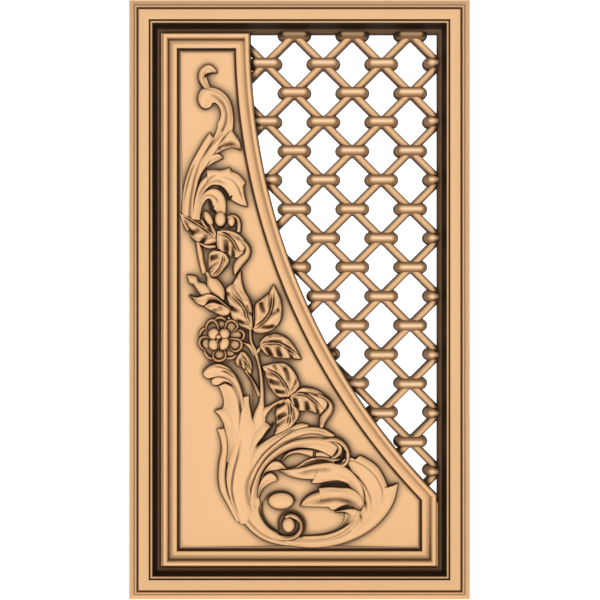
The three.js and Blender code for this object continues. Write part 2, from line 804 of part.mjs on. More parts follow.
      [300, 536.5], [328, 534.5], [345, 527], [358, 515], [365, 500], [362, 486], [352, 472],
      [346, 460],
    ],
    rise: 8,
    steps: 12,
  },
  lowerLobeTop: {
    left: [
      [366, 502], [362, 485], [350, 470], [336, 463], [318, 463.5], [303, 467], [290, 469],
      [278.5, 470.3],
    ],
    right: [
      [356, 502], [350, 489], [340, 481], [326, 481.5], [312, 481.5], [300, 480], [288, 476.5],
      [278.7, 470.8],
    ],
    rise: 9,
    section: "ridgeLeft",
  },
  lowerFold: {
    left: [[348, 457.8], [333, 458.5], [322, 457.2], [313, 458], [304, 461.8], [296, 467], [288, 469]],
    right: [[348, 466], [335, 466.5], [322, 465], [312, 466], [304, 468.5], [297, 470.5], [289, 470.5]],
    rise: 5.5,
    section: "ridgeLeft",
  },
  lowerLobeMiddle: {
    left: [[367, 510], [361, 496], [349, 487.5], [337, 486.7], [322, 488.8], [311, 494.5], [300.5, 506]],
    right: [[357, 514], [354, 508], [346, 504.5], [336, 508], [326, 507.5], [313, 507], [301, 506.8]],
    rise: 8,
    section: "ridgeLeft",
  },
  lowerLobeInner: {
    left: [[364, 518], [359, 511], [350, 508.7], [342, 510], [334.5, 511.7]],
    right: [[352, 530], [352, 521], [347, 516], [341, 514.5], [334.7, 512.3]],
    rise: 6,
    section: "ridgeLeft",
  },
  lowerHollow: {
    left: [[290, 543], [312, 543], [333, 540], [350, 532], [361, 521], [362, 510]],
    right: [[294, 535.5], [312, 535.7], [328, 533.5], [339, 528], [344, 521], [345, 514]],
    rise: 6,
    section: "ridgeLeft",
  },
};

const ovals = {
  berryLeft: { centre: [208.5, 217], radii: [4.2, 7.5], turn: -25, rise: 9 },
  berryMiddle: { centre: [220.5, 220], radii: [5.8, 7.3], rise: 10 },
  berryRight: { centre: [231.8, 222], radii: [4.6, 5.6], rise: 9 },
  ovalBoss: { centre: [281, 500.8], radii: [12.8, 8.4], rise: 9.5, sides: 10 },
  voluteEye: { centre: [288.5, 525], radii: [7.2, 8.2], rise: 9.5 },
};

// The flower: a back ring of petals, a front ring of cupped petals, four inner petals and a heart.
const flowerCentre = [221.3, 339];
const flower = {
  backPetals: {
    count: 5,
    firstAngle: 96,
    distance: 16,
    radii: [6.8, 5.6],
    rise: 6,
    rings: flatRings,
    middle: 0.8,
  },
  frontPetals: {
    count: 5,
    firstAngle: 62,
    distance: 15.5,
    radii: [7, 6.6],
    rise: 9.5,
    rings: cupRings,
    middle: 0.5,
  },
  innerPetals: {
    count: 4,
    firstAngle: 45,
    distance: 6.6,
    radii: [5.6, 5.6],
    rise: 11.5,
    rings: flatRings,
    middle: 0.9,
  },
};
const flowerHeart = { centre: [218.6, 337.8], radii: [3, 3.4], rise: 12, sides: 6 };

function makePetals({ count, firstAngle, distance, ...petal }) {
  return Array.from({ length: count }, (_, i) => {
    const turn = firstAngle + (360 / count) * i;
    const angle = THREE.MathUtils.degToRad(turn);
    const centre = [
      flowerCentre[0] + distance * Math.cos(angle),
      flowerCentre[1] - distance * Math.sin(angle),
    ];
    return oval({ ...petal, centre, turn: 90 - turn, sides: 6 });
  });
}

function makePanel() {
  const levels = borderMoulding.map(([inset, h]) => raised(panelOutline(inset), h));
  const body = stack([raised(panelOutline(0), flangeThickness), ...levels]);
  const flange = prism(panelOutline(fitGap - rebateWidth - panelGap, rebateWidth), 0, flangeThickness + weld);
  const carved = [
    ...Object.values(carving).map(form),
    ...Object.values(ovals).map(oval),
    ...Object.values(flower).flatMap(makePetals),
    oval(flowerHeart),
  ];
  return wasm.Manifold.union([body, flange, ...carved]);
}

function toMesh(name, made, color) {
  const { vertProperties, triVerts, numProp } = made.getMesh();
  const positions = new Float32Array((vertProperties.length / numProp) * 3);
  for (let i = 0; i < positions.length / 3; i++)
    positions.set(vertProperties.subarray(i * numProp, i * numProp + 3), i * 3);
  const geometry = new THREE.BufferGeometry();
  geometry.setAttribute("position", new THREE.BufferAttribute(positions, 3));
  geometry.setIndex(new THREE.BufferAttribute(triVerts, 1));
  const material = new THREE.MeshStandardMaterial({ color, roughness: 0.55, metalness: 0 });
  const mesh = new THREE.Mesh(geometry, material);
  mesh.name = name;
  return mesh;
}

// The forms are drawn round the middle of the frame. The group lifts them, so that the origin is on the middle
// of the flat back of the bottom rail.
const flatBackWidth = stileWidth - rebateWidth;
const grille = new THREE.Group();
grille.name = "carved_fretwork_grille";
grille.position.z = frameHeight / 2 - flatBackWidth / 2;
grille.add(
  toMesh("frame", makeFrame(), woodTones.frame),
  toMesh("carved_panel", makePanel(), woodTones.panel),
  toMesh("lattice", makeLattice(), woodTones.lattice),
);

export default grille;
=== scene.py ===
import math

import bpy
import numpy as np
from mathutils import Matrix, Vector, geometry


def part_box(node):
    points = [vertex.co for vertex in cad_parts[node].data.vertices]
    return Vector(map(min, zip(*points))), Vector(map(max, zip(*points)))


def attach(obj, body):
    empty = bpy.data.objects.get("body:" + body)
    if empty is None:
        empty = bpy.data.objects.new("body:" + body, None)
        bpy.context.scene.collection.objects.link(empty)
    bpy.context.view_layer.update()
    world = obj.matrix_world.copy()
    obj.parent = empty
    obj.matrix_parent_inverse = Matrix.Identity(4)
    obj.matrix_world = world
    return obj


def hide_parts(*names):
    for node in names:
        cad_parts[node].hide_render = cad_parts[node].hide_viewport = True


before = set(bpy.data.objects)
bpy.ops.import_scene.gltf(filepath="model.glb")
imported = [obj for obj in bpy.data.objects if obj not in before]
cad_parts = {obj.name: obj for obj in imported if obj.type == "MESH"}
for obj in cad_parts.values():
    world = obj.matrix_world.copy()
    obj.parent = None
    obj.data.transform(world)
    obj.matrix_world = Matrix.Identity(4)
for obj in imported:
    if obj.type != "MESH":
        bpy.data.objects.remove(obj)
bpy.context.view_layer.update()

print("frame loaded")

mm = 0.001
frameLow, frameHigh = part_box("frame")
middleHeight = (frameLow.z + frameHigh.z) / 2  # the forms are drawn round the middle of the grille
tiny = 1e-9


# Drawn points (x to the right, z up, h out of the back) as points of the row frame, in metres.
def toRow(points):
    drawn = np.asarray(points, float)
    return np.stack([drawn[..., 0] * mm, -drawn[..., 2] * mm, drawn[..., 1] * mm + middleHeight], -1)


# The four-sided faces between rows of points, and round to each row's start where the rows are closed.
def quads(rows, rowLength, closed):
    i, j = np.meshgrid(np.arange(rows - 1), np.arange(rowLength if closed else rowLength - 1), indexing="ij")
    a = i * rowLength + j
    b = i * rowLength + (j + 1) % rowLength
    return np.stack([a, b, b + rowLength, a + rowLength], -1).reshape(-1, 4)


# A smooth piece of the render from drawn points, with sharp edges past an angle.
def meshPiece(name, points, faces, material, shades, sharpAngle=38):
    mesh = bpy.data.meshes.new(name)
    mesh.from_pydata(toRow(points).tolist(), [], [list(map(int, f)) for f in faces])
    mesh.validate()
    mesh.polygons.foreach_set("use_smooth", [True] * len(mesh.polygons))
    mesh.set_sharp_from_angle(angle=math.radians(sharpAngle))
    addShades(mesh, shades)
    piece = bpy.data.objects.new(name, mesh)
    bpy.context.scene.collection.objects.link(piece)
    mesh.materials.append(material)
    return piece


# The values that the wood's material reads at each vertex.
def addShades(mesh, shades):
    for name, values in shades.items():
        attribute = mesh.attributes.new(name, "FLOAT", "POINT")
        attribute.data.foreach_set("value", np.asarray(values, np.float32))


# A profile with its corners rounded, by no more than a share of their shorter side.
def softened(profile, radius, steps=3, mostShare=0.46):
    points = np.array(profile, float)
    result = [points[0]]
    for before, corner, after in zip(points[:-2], points[1:-1], points[2:]):
        sides = []
        for other in (before, after):
            away = other - corner
            length = np.linalg.norm(away)
            sides.append(corner + away / length * min(radius, mostShare * length))
        for t in np.linspace(0, 1, steps + 1):
            result.append((1 - t) ** 2 * sides[0] + 2 * t * (1 - t) * corner + t * t * sides[1])
    result.append(points[-1])
    return np.array(result)


# The same profile with points no further apart than a step.
def finer(profile, step):
    parts = [profile[:1]]
    for a, b in zip(profile[:-1], profile[1:]):
        count = max(1, math.ceil(np.linalg.norm(b - a) / step))
        parts.append(a + (b - a) * np.linspace(0, 1, count + 1)[1:, None])
    return np.vstack(parts)


# Painted shade laid along a moulding, a painted highlight where the strength is below 0: each line is its
# distance in from the edge, half its width and its strength.
def paintedShadingLines(inset, lines):
    return sum(strength * np.exp(-(((inset - middle) / half) ** 2)) for middle, half, strength in lines)


# How much painted slope shade the slopes take at a distance in from an edge, given as [distance, share].
def slopesAt(inset, shares):
    return np.interp(inset, *zip(*shares))


# Centripetal Catmull-Rom curve through the points, resampled at even steps.
def smoothLine(points, count):
    p = np.array(points, float)
    p = np.vstack([2 * p[0] - p[1], p, 2 * p[-1] - p[-2]])
    samples = []
    for a, b, c, d in zip(p[:-3], p[1:-2], p[2:-1], p[3:]):
        spans = [max(np.linalg.norm(v), 1e-6) ** 0.5 for v in (b - a, c - b, d - c)]
        t0, t1, t2, t3 = np.cumsum([0] + spans)
        t = np.linspace(t1, t2, 14, endpoint=False)[:, None]
        a1 = (t1 - t) / (t1 - t0) * a + (t - t0) / (t1 - t0) * b
        a2 = (t2 - t) / (t2 - t1) * b + (t - t1) / (t2 - t1) * c
        a3 = (t3 - t) / (t3 - t2) * c + (t - t2) / (t3 - t2) * d
        b1 = (t2 - t) / (t2 - t0) * a1 + (t - t0) / (t2 - t0) * a2
        b2 = (t3 - t) / (t3 - t1) * a2 + (t - t1) / (t3 - t1) * a3
        samples.append((t2 - t) / (t2 - t1) * b1 + (t - t1) / (t2 - t1) * b2)
    line = np.vstack(samples + [p[-2]])
    along = np.concatenate([[0], np.cumsum(np.linalg.norm(np.diff(line, axis=0), axis=1))])
    even = np.linspace(0, along[-1], count)
    return np.stack([np.interp(even, along, line[:, k]) for k in (0, 1)], -1), along[-1]


# A node's output, so that shader and geometry arithmetic reads as Python.
class Wire:
    def __init__(self, graph, socket):
        self.graph = graph
        self.socket = socket

    def math(self, operation, *others, clamp=False):
        settings = {"operation": operation, "use_clamp": clamp}
        return self.graph.wire("ShaderNodeMath", settings, dict(enumerate([self, *others])))

    def swapped(self, operation, other):
        return self.graph.wire("ShaderNodeMath", {"operation": operation}, {0: other, 1: self})

    def __add__(self, other):
        return self.math("ADD", other)

    def __sub__(self, other):
        return self.math("SUBTRACT", other)

    def __mul__(self, other):
        return self.math("MULTIPLY", other)

    def __truediv__(self, other):
        return self.math("DIVIDE", other)

    def __mod__(self, other):
        return self.math("FLOORED_MODULO", other)

    def __lt__(self, other):
        return self.math("LESS_THAN", other)

    def __gt__(self, other):
        return self.math("GREATER_THAN", other)

    def __radd__(self, other):
        return self.swapped("ADD", other)

    def __rsub__(self, other):
        return self.swapped("SUBTRACT", other)

    def __rmul__(self, other):
        return self.swapped("MULTIPLY", other)

    def __rtruediv__(self, other):
        return self.swapped("DIVIDE", other)

    def clamped(self):
        return self.math("ADD", 0.0, clamp=True)

    def between(self, low, high):
        return ((self - low) / (high - low)).clamped()


# A node tree, and the one way in which nodes are added to it: kind, settings, then inputs.
class Graph:
    def __init__(self, tree):
        self.tree = tree
        tree.nodes.clear()

    def node(self, kind, settings={}, inputs={}):
        node = self.tree.nodes.new(kind)
        for key, value in settings.items():
            setattr(node, key, value)
        for key, value in inputs.items():
            for part in value if isinstance(value, list) else [value]:
                if isinstance(part, Wire):
                    self.tree.links.new(part.socket, node.inputs[key])
                else:
                    node.inputs[key].default_value = part
        return node

    def wire(self, kind, settings={}, inputs={}, output=0):
        return Wire(self, self.node(kind, settings, inputs).outputs[output])

    # Colours are mixed by a Mix node, whose colour sockets come after those of its other types.
    def mixed(self, share, first, second):
        settings = {"data_type": "RGBA", "clamp_factor": True}
        return self.wire("ShaderNodeMix", settings, {0: share, 6: first, 7: second}, output=2)


# Wood with its grain, and with shade, highlights and shadow painted into its colour: painted shade in its
# hollows and on its steep sides, a painted highlight on its crests and painted near-black shadow in its
# deepest places.
def makeWood(name, look, walls=None):
    material = bpy.data.materials.new(name)
    material.use_nodes = True
    graph = Graph(material.node_tree)
    place = graph.wire("ShaderNodeTexCoord", output="Object")
    along = graph.wire("ShaderNodeMapping", {}, {"Vector": place, "Scale": look["fibre"]})
    fibre = graph.wire("ShaderNodeTexNoise", {}, {
        "Vector": along, "Scale": 1.0, "Detail": 5.0, "Roughness": 0.6,
    })
    wide = graph.wire("ShaderNodeMapping", {}, {"Vector": place, "Scale": look["cloud"]})
    cloud = graph.wire("ShaderNodeTexNoise", {}, {
        "Vector": wide, "Scale": 1.0, "Detail": 3.0, "Distortion": 0.6,
    })
    speck = graph.wire("ShaderNodeTexNoise", {}, {"Vector": place, "Scale": look["speck"], "Detail": 2.0})
    patina = graph.wire("ShaderNodeAttribute", {"attribute_name": "patina"}, output="Fac")
    glaze = graph.wire("ShaderNodeAttribute", {"attribute_name": "glaze"}, output="Fac")
    dusk = graph.wire("ShaderNodeAttribute", {"attribute_name": "dusk"}, output="Fac")
    normal = graph.wire("ShaderNodeNewGeometry", output="Normal")
    towards = {0: normal, 1: (0, -1, 0)}
    facing = graph.wire("ShaderNodeVectorMath", {"operation": "DOT_PRODUCT"}, towards, output="Value")
    # Sides that face away from the front get painted shade.
    paintedSlopeShade = (1 - facing).between(look["slopeFrom"], look["slopeTo"]) * glaze
    # Shade is painted near the walls that the lattice stands between.
    if walls:
        beside = 1 - walls(graph, place).between(look["besideFrom"], look["besideTo"])
        patina = patina + beside
        dusk = dusk + beside
    # Above 0 the value is painted shade, below 0 a painted highlight.
    hollow = patina.clamped()
    paintedHighlight = (0 - patina).clamped()
    streak = (fibre - 0.5) * look["streak"] + (cloud - 0.5) * look["drift"]
    tone = graph.mixed((streak + 0.5).clamped(), look["lightTone"], look["darkTone"])
    tone = graph.mixed(paintedHighlight * look["paintedHighlightShare"], tone, look["paintedHighlightTone"])
    tone = graph.mixed((dusk * look["paintedWideShadeShare"]).clamped(), tone, look["paintedWideShadeTone"])
    tone = graph.mixed((hollow + paintedSlopeShade * look["slopeShare"]).clamped(), tone, look["paintedShadeTone"])
    # Where the painted shade is deepest it turns to a painted near-black shadow.
    depth = patina * look["hollowShare"] + paintedSlopeShade * look["slopeDeep"] + (speck - 0.5) * look["speckle"]
    tone = graph.mixed(depth.between(look["blackFrom"], look["blackTo"]), tone, look["paintedShadowTone"])
    roughness = (look["roughness"] + ((fibre - 0.5) + hollow) * look["roughnessDrift"]).clamped()
    relief = (fibre - 0.5) * look["fibreRelief"] + (speck - 0.5) * look["speckRelief"]
    bump = graph.wire("ShaderNodeBump", {}, {
        "Strength": look["bump"], "Distance": look["bumpDepth"], "Height": relief,
    })
    shader = graph.wire("ShaderNodeBsdfPrincipled", {}, {
        "Base Color": tone,
        "Roughness": roughness,
        "Normal": bump,
        "Specular IOR Level": look["gloss"],
    })
    graph.node("ShaderNodeOutputMaterial", {}, {"Surface": shader})
    return material


# The grain's light and dark tones, and the painted highlight, painted wide shade, painted shade and painted
# near-black shadow mixed over them, with where each begins and how strong it is.
woodLook = {
    "fibre": (900, 900, 26),
    "cloud": (14, 14, 3),
    "speck": 700,
    "streak": 0.9,
    "drift": 0.8,
    "lightTone": (0.785, 0.484, 0.252, 1),
    "darkTone": (0.74, 0.435, 0.215, 1),
    "paintedHighlightTone": (0.99, 0.655, 0.385, 1),
    "paintedWideShadeTone": (0.115, 0.08, 0.047, 1),
    "paintedShadeTone": (0.105, 0.045, 0.014, 1),
    "paintedShadowTone": (0.02, 0.0095, 0.004, 1),
    "paintedHighlightShare": 0.9,
    "paintedWideShadeShare": 0.9,
    "slopeFrom": 0.04,
    "slopeTo": 0.66,
    "slopeShare": 0.82,
    "slopeDeep": 0.55,
    "hollowShare": 0.9,
    "speckle": 0.12,
    "blackFrom": 0.55,
    "blackTo": 1.25,
    "roughness": 0.55,
    "roughnessDrift": 0.12,
    "fibreRelief": 0.7,
    "speckRelief": 0.3,
    "bump": 0.12,
    "bumpDepth": 0.0004,
    "gloss": 0.2,
    "besideFrom": 0.001,
    "besideTo": 0.008,
}

# The moulded frame, in millimetres. Its face is given as (in from the outer edge, height above the back), its
# lines of painted shade as (distance in, half width, strength), and its slopes as (distance in, share of
# painted slope shade kept).
frameSizes = {
    "width": 480,
    "height": 843.5,
    "stile": 43.7,
    "lip": 8,
    "rebate": 7.5,
    "face": [
        (0, 20.5), (2, 21), (6.8, 24.2), (7.4, 23), (9.8, 26.8), (13, 24.2), (15, 27.5), (22, 28),
        (28.6, 27.6), (30, 25), (32, 27.6), (33.6, 26.2), (36.6, 16), (38.2, 13.2), (41, 12.3), (43.7, 8.6)],
    "edge": 0.9,
    "plainEdge": 1,
    "glaze": [
        (3.4, 0.9, 0.9), (4.7, 1.2, 0.3), (6.4, 0.9, 0.9), (12.9, 1.3, 1), (30, 1, 0.9), (36.6, 2.6, 0.5),
        (39.4, 1.2, 0.6)],
    "slopes": [(0, 0.15), (6.6, 0.3), (7.6, 1)],
}

# The panel's board and its border, in the same terms, in from the panel's edge.
panelSizes = {
    "gap": 4,
    "topWidth": 122.3,
    "bowRadius": 919.8,
    "bowFoot": 100,
    "flange": 7.6,
    "flangeReach": 7,
    "ground": 15.6,
    "border": [
        (0, 24), (1.1, 26.6), (2.6, 27.7), (5.2, 27.7), (6.6, 26.2), (8, 23), (9.3, 20.6), (10.8, 19.3),
        (12.4, 19.1), (14, 19.6), (15.8, 20.1), (18, 20.2), (19.7, 19.1), (20.9, 14.8), (22.4, 14.6),
        (24.5, 15.6)],
    "edge": 0.9,
    # Lines below 0 paint highlights along the border's crest, cove and band; the last paints shade at its
    # step down to the ground.
    "glaze": [(4, 2.2, -0.9), (9, 2.6, -0.25), (16.6, 1.6, -0.1), (21.5, 1.3, 0.7)],
    "slopes": [(0, 1), (5.6, 1), (6.6, 0.6), (11, 0.6), (12, 1)],
    "bowSteps": 110,
    "groundCell": 1.5,
    "cellClearance": 0.8,
    "plainRise": 1,
}
profileStep = 0.8

openingX = frameSizes["width"] / 2 - frameSizes["stile"]
openingZ = frameSizes["height"] / 2 - frameSizes["stile"]
panelX = openingX - panelSizes["gap"]
panelZ = openingZ - panelSizes["gap"]


# The centre of the panel's arc, from the arc's two ends and its radius.
def bowMiddle():
    top = np.array([-panelX + panelSizes["topWidth"], panelZ])
    foot = np.array([panelX, -panelZ + panelSizes["bowFoot"]])
    chord = foot - top
    half = np.linalg.norm(chord) / 2
    across = np.array([-chord[1], chord[0]]) / (2 * half)
    return (top + foot) / 2 + across * math.sqrt(panelSizes["bowRadius"] ** 2 - half**2)


bowCentre = bowMiddle()


# How far a point of the lattice is from the frame's opening or the panel's bow, in metres; shade is painted
# by it near those walls.
def fromWalls(graph, spot):
    x, _, z = (graph.wire("ShaderNodeSeparateXYZ", {}, {0: spot}, axis) for axis in (0, 1, 2))
    acrossBow = x - bowCentre[0] * mm
    upBow = z - (bowCentre[1] * mm + middleHeight)
    fromBow = (acrossBow * acrossBow + upBow * upBow).math("SQRT") - panelSizes["bowRadius"] * mm
    fromSide = openingX * mm - x
    fromRail = openingZ * mm - (z - middleHeight).math("ABSOLUTE")
    return (0 - fromBow).math("MINIMUM", fromSide).math("MINIMUM", fromRail)


frameWood = makeWood("frameWood", woodLook)
panelLook = {**woodLook, "lightTone": (0.865, 0.534, 0.279, 1), "darkTone": (0.81, 0.475, 0.235, 1)}
panelWood = makeWood("panelWood", panelLook)
# The lattice's wood paints shade near the walls round it.
latticeWood = makeWood("latticeWood", woodLook, fromWalls)
print("materials made")


# The panel's arc moved outwards by inset, from the right side up to the top.
def bow(inset, right, top, steps):
    radius = panelSizes["bowRadius"] + inset
    start = -math.acos((right - bowCentre[0]) / radius)
    end = -math.pi - math.asin((top - bowCentre[1]) / radius)
    angle = np.linspace(start, end, steps + 1)
    return np.stack([bowCentre[0] + radius * np.cos(angle), bowCentre[1] + radius * np.sin(angle)], -1)


# Outlines a given distance in from the edge. The panel's bow may be kept further out than its straight sides.
def panelOutline(inset, bowInset=None):
    x, z = panelX - inset, panelZ - inset
    arc = bow(inset if bowInset is None else bowInset, x, z, panelSizes["bowSteps"])
    return np.vstack([[[-x, -z], [x, -z]], arc, [[-x, z]]])


def frameOutline(inset):
    x, z = frameSizes["width"] / 2 - inset, frameSizes["height"] / 2 - inset
    return np.array([[-x, -z], [x, -z], [x, z], [-x, z]])


# Distance in from the nearest edge of the frame or of the panel; outside it is negative.
def frameInset(x, z):
    return np.minimum(frameSizes["width"] / 2 - np.abs(x), frameSizes["height"] / 2 - np.abs(z))


def panelInset(x, z):
    fromBow = np.hypot(x - bowCentre[0], z - bowCentre[1]) - panelSizes["bowRadius"]
    return np.minimum(np.minimum(panelX - np.abs(x), panelZ - np.abs(z)), fromBow)


frameFace = finer(softened(frameSizes["face"], frameSizes["edge"]), profileStep)
borderFace = finer(softened(panelSizes["border"], panelSizes["edge"]), profileStep)

# What one unit of the carver's drawing is, and where the panel's lower left corner lies on it.
drawing = {"unit": 1.407, "cornerX": 162.8, "cornerY": 565.5}


def place(points):
    drawn = np.asarray(points, float)
    x = -panelX + (drawn[..., 0] - drawing["cornerX"]) * drawing["unit"]
    z = -panelZ + (drawing["cornerY"] - drawn[..., 1]) * drawing["unit"]
    return np.stack([x, z], -1)


# The carving's lengths in millimetres, and its shares and strengths, among them the shade painted on its
# walls, in leaf cuts and over slots, and how much painted slope shade the petal rims take.
carvingSizes = {
    "spacing": 0.65,
    "fewestRows": 8,
    "fewestColumns": 10,
    "mostColumns": 64,
    "bedding": 1,
    "draft": 1.5,
    "wallBend": 0.42,
    "wallShare": 0.35,
    "lowest": 0.5,
    "leastShare": 0.05,
    "softFrom": 24.5,
    "highest": 27.8,
    "spread": 1.2,
    "paintedWallShade": 0.8,
    "rimSlopeShade": 0.3,
    "narrowest": 0.8,
    "edgeRadius": 1.6,
    "edgeShare": 0.6,
    "tipRadius": 3.0,
    "tipShare": 0.55,
    "leafSpread": 1.9,
    "leafDepth": 1.05,
    "paintedLeafCutShade": 0.6,
    "lobeNotch": 1.3,
    "lobeReach": 2.6,
    "lobeShare": 0.3,
    "slotSlope": 0.8,
    "paintedSlotShadow": 1.6,
    "endHeight": 0.3,
    "sharpAngle": 55,
    "slimEnd": 0.05,
    "endFullness": 0.4,
    "edgeCrowding": 0.3,
    "edgeWidthShare": 0.45,
    "sectionSamples": 201,
    "sectionBlend": 25,
    "ribFade": 0.25,
    "ribFadeSlope": 1.4,
    "domeFoot": 0.4,
    "domeFullness": 2.2,
    "domeWallBend": 0.4,
    "domeWallShare": 0.2,
}
formDefaults = {"section": "hollow", "base": 1, "tip": 0.75, "strokes": []}
domeDefaults = {"sides": 40, "rings": 14, "turn": 0, "shade": 0}

# Shares of a form's rise across it, from its left outline to its right one.
sections = {
    "round": [0.55, 0.86, 1, 0.86, 0.55],
    "hollow": [0.62, 0.95, 1, 0.9, 0.8, 0.7, 0.62],
    "ridgeLeft": [0.75, 0.97, 1, 0.86, 0.7, 0.58, 0.5],
    "ridgeRight": [0.5, 0.58, 0.7, 0.86, 1, 0.97, 0.75],
    "leaf": [0.5, 0.66, 0.72, 0.68, 0.62, 0.68, 0.72, 0.66, 0.5],
}


# Rounds a form down to a share of its rise at its edge.
def edgeFactor(distance, radius, share):
    near = 1 - np.clip(distance / radius, 0, 1)
    return share + (1 - share) * np.sqrt(1 - near**2)


# Distance from a line, and how far along it the nearest point is, from 0 at its start to 1 at its end.
def lineDistance(x, z, line):
    nearest = np.full(x.shape, np.inf)
    share = np.zeros(x.shape)
    for k, (a, b) in enumerate(zip(line[:-1], line[1:])):
        span = b - a
        t = np.clip(((x - a[0]) * span[0] + (z - a[1]) * span[1]) / max(span @ span, tiny), 0, 1)
        distance = np.hypot(x - a[0] - t * span[0], z - a[1] - t * span[1])
        closer = distance < nearest
        nearest = np.where(closer, distance, nearest)
        share = np.where(closer, (k + t) / (len(line) - 1), share)
    return nearest, share


# Heights near the face of the frame are pressed together, so that none of the carving passes it.
def softTop(height):
    room = carvingSizes["highest"] - carvingSizes["softFrom"]
    over = np.maximum(height - carvingSizes["softFrom"], 0)
    return np.minimum(height, carvingSizes["softFrom"]) + room * np.tanh(over / room)


# How strokes fade, each as (share at the end, growth from there), and how much shade they paint in their cuts
# and grooves and how much highlight on their crests.
strokeSizes = {
    "ends": (0.2, 3.5),
    "leafEnds": (0.6, 4),
    "taperStart": (0, 1.1),
    "taperEnd": (0.2, 5),
    "paintedCrestHighlight": 0.3,
    "paintedCutShade": 0.12,
    "fullCutShadeDepth": 8,
    "flankAway": 1.7,
    "flankDepth": 0.8,
    "paintedFlankShade": 0.45,
}


def faded(along, pair):
    end, growth = pair
    return np.clip(end + growth * along, 0, 1)


# Strokes carved into a form's upper side: cuts, tapers (cuts that grow from nothing), puffs (swellings) and
# ribs (thin ridges between two grooves). Each is its kind, half width and depth in millimetres, and its line.
# A leaf's cuts are wider and fade towards its rib. What the strokes add to the painted shade is returned,
# below 0 where a highlight is painted on their crests.
def engrave(points, marks, leaf=None):
    size = {**carvingSizes, **strokeSizes}
    x, z = points[..., 0], points[..., 1]
    rise = np.zeros(x.shape)
    glaze = np.zeros(x.shape)
    for kind, half, depth, line in marks:
        route = smoothLine(place(line), max(4, 5 * len(line)))[0]
        distance, along = lineDistance(x, z, route)
        fromEnds = np.minimum(along, 1 - along)
        spread, soft = size["spread"], 1
        if kind == "puff":
            ends = 1
        elif kind == "taper":
            ends = faded(along, size["taperStart"]) * faded(1 - along, size["taperEnd"])
        elif kind == "cut" and leaf is not None:
            ends = faded(fromEnds, size["leafEnds"]) * leaf
            spread, soft = size["leafSpread"], size["paintedLeafCutShade"]
            depth *= size["leafDepth"]
        else:
            ends = faded(fromEnds, size["ends"])
        hump = np.exp(-((distance / half / spread) ** 2)) * ends
        if kind == "puff":
            rise += depth * hump
            glaze -= size["paintedCrestHighlight"] * hump
        elif kind in ("cut", "taper"):
            rise -= depth * hump
            glaze += min(1, size["paintedCutShade"] + depth / size["fullCutShadeDepth"]) * soft * hump
        else:
            flank = np.exp(-(((distance - size["flankAway"] * half) / half) ** 2)) * ends
            rise += depth * (hump - size["flankDepth"] * flank)
            glaze += size["paintedFlankShade"] * flank - size["paintedCrestHighlight"] * hump
    lowest = panelSizes["ground"] + size["lowest"]
    height = softTop(np.maximum(points[..., 2] + rise, lowest))
    for half, _, line in slots:
        distance, _ = lineDistance(x, z, place(line))
        inside = np.clip((half - distance) / size["slotSlope"] + 0.5, 0, 1)
        height = height * (1 - inside) + lowest * inside
    points[..., 2] = height
    return glaze


# The two outlines of a thin form, from the line along its middle and its width.
def sidesOf(shape):
    if "line" not in shape:
        return shape["left"], shape["right"]
    line = smoothLine(shape["line"], 6 * len(shape["line"]))[0]
    forward = np.gradient(line, axis=0)
    square = np.stack([-forward[:, 1], forward[:, 0]], -1)
    square /= np.linalg.norm(square, axis=1, keepdims=True)
    t = np.linspace(0, 1, len(line))
    fullness = np.clip(np.sin(math.pi * t), carvingSizes["slimEnd"], 1) ** carvingSizes["endFullness"]
    half = shape["width"] / 2 * fullness[:, None]
    return line + square * half, line - square * half


# Unit vectors from one outline to the other, and the form's width. Where it thins out to a tip, the vectors
# turn square to its middle line.
def crossways(left, right):
    narrowest = carvingSizes["narrowest"]
    span = right - left
    width = np.linalg.norm(span, axis=1)
    forward = np.gradient((left + right) / 2, axis=0)
    square = np.stack([forward[:, 1], -forward[:, 0]], -1)
    square /= np.maximum(np.linalg.norm(square, axis=1, keepdims=True), tiny)
    square *= np.sign((square * span.mean(0)).sum(1).mean() or 1)
    side = span / np.maximum(width[:, None], tiny)
    slim = np.clip(width / narrowest, 0, 1)[:, None]
    side = side * slim + square * (1 - slim)
    side /= np.maximum(np.linalg.norm(side, axis=1, keepdims=True), tiny)
    return side, np.maximum(width, narrowest)


# How far a leaf's outline is drawn in where its cuts reach it.
def notches(edge, marks):
    drawnIn = np.zeros(len(edge))
    for kind, _, _, line in marks:
        if kind == "cut":
            distance, _ = lineDistance(edge[:, 0], edge[:, 1], place(line))
            drawnIn += carvingSizes["lobeNotch"] * np.exp(-((distance / carvingSizes["lobeReach"]) ** 2))
    return drawnIn


# Where the columns lie across a form, from 0 to 1 and somewhat closer together at the edges.
def columnPlaces(width):
    size = carvingSizes
    count = int(np.clip(math.ceil(width / size["spacing"]) + 2, size["fewestColumns"], size["mostColumns"]))
    even = np.linspace(0, 1, count + 1)
    crowded = 0.5 - 0.5 * np.cos(math.pi * even)
    return even + size["edgeCrowding"] * (crowded - even)


# A section's shares of the rise at the columns, smoothed over an eighth of the width.
def sectionShares(section, s):
    blend = carvingSizes["sectionBlend"]
    shares = np.array(sections[section], float)
    fine = np.linspace(0, 1, carvingSizes["sectionSamples"])
    curve = np.interp(fine, np.linspace(0, 1, len(shares)), shares)
    window = np.hanning(blend)
    soft = np.convolve(np.pad(curve, blend // 2, mode="edge"), window / window.sum(), "valid")
    return np.interp(s, fine, soft)


# How a form's rise swells along it, from its base to its tip.
def swellAlong(t, base, tip):
    first = base + (1 - base) * np.sin(math.pi * np.minimum(t, 0.5))
    second = tip + (1 - tip) * np.sin(math.pi * np.clip(t, 0.5, 1))
    return np.where(t < 0.5, first, second)


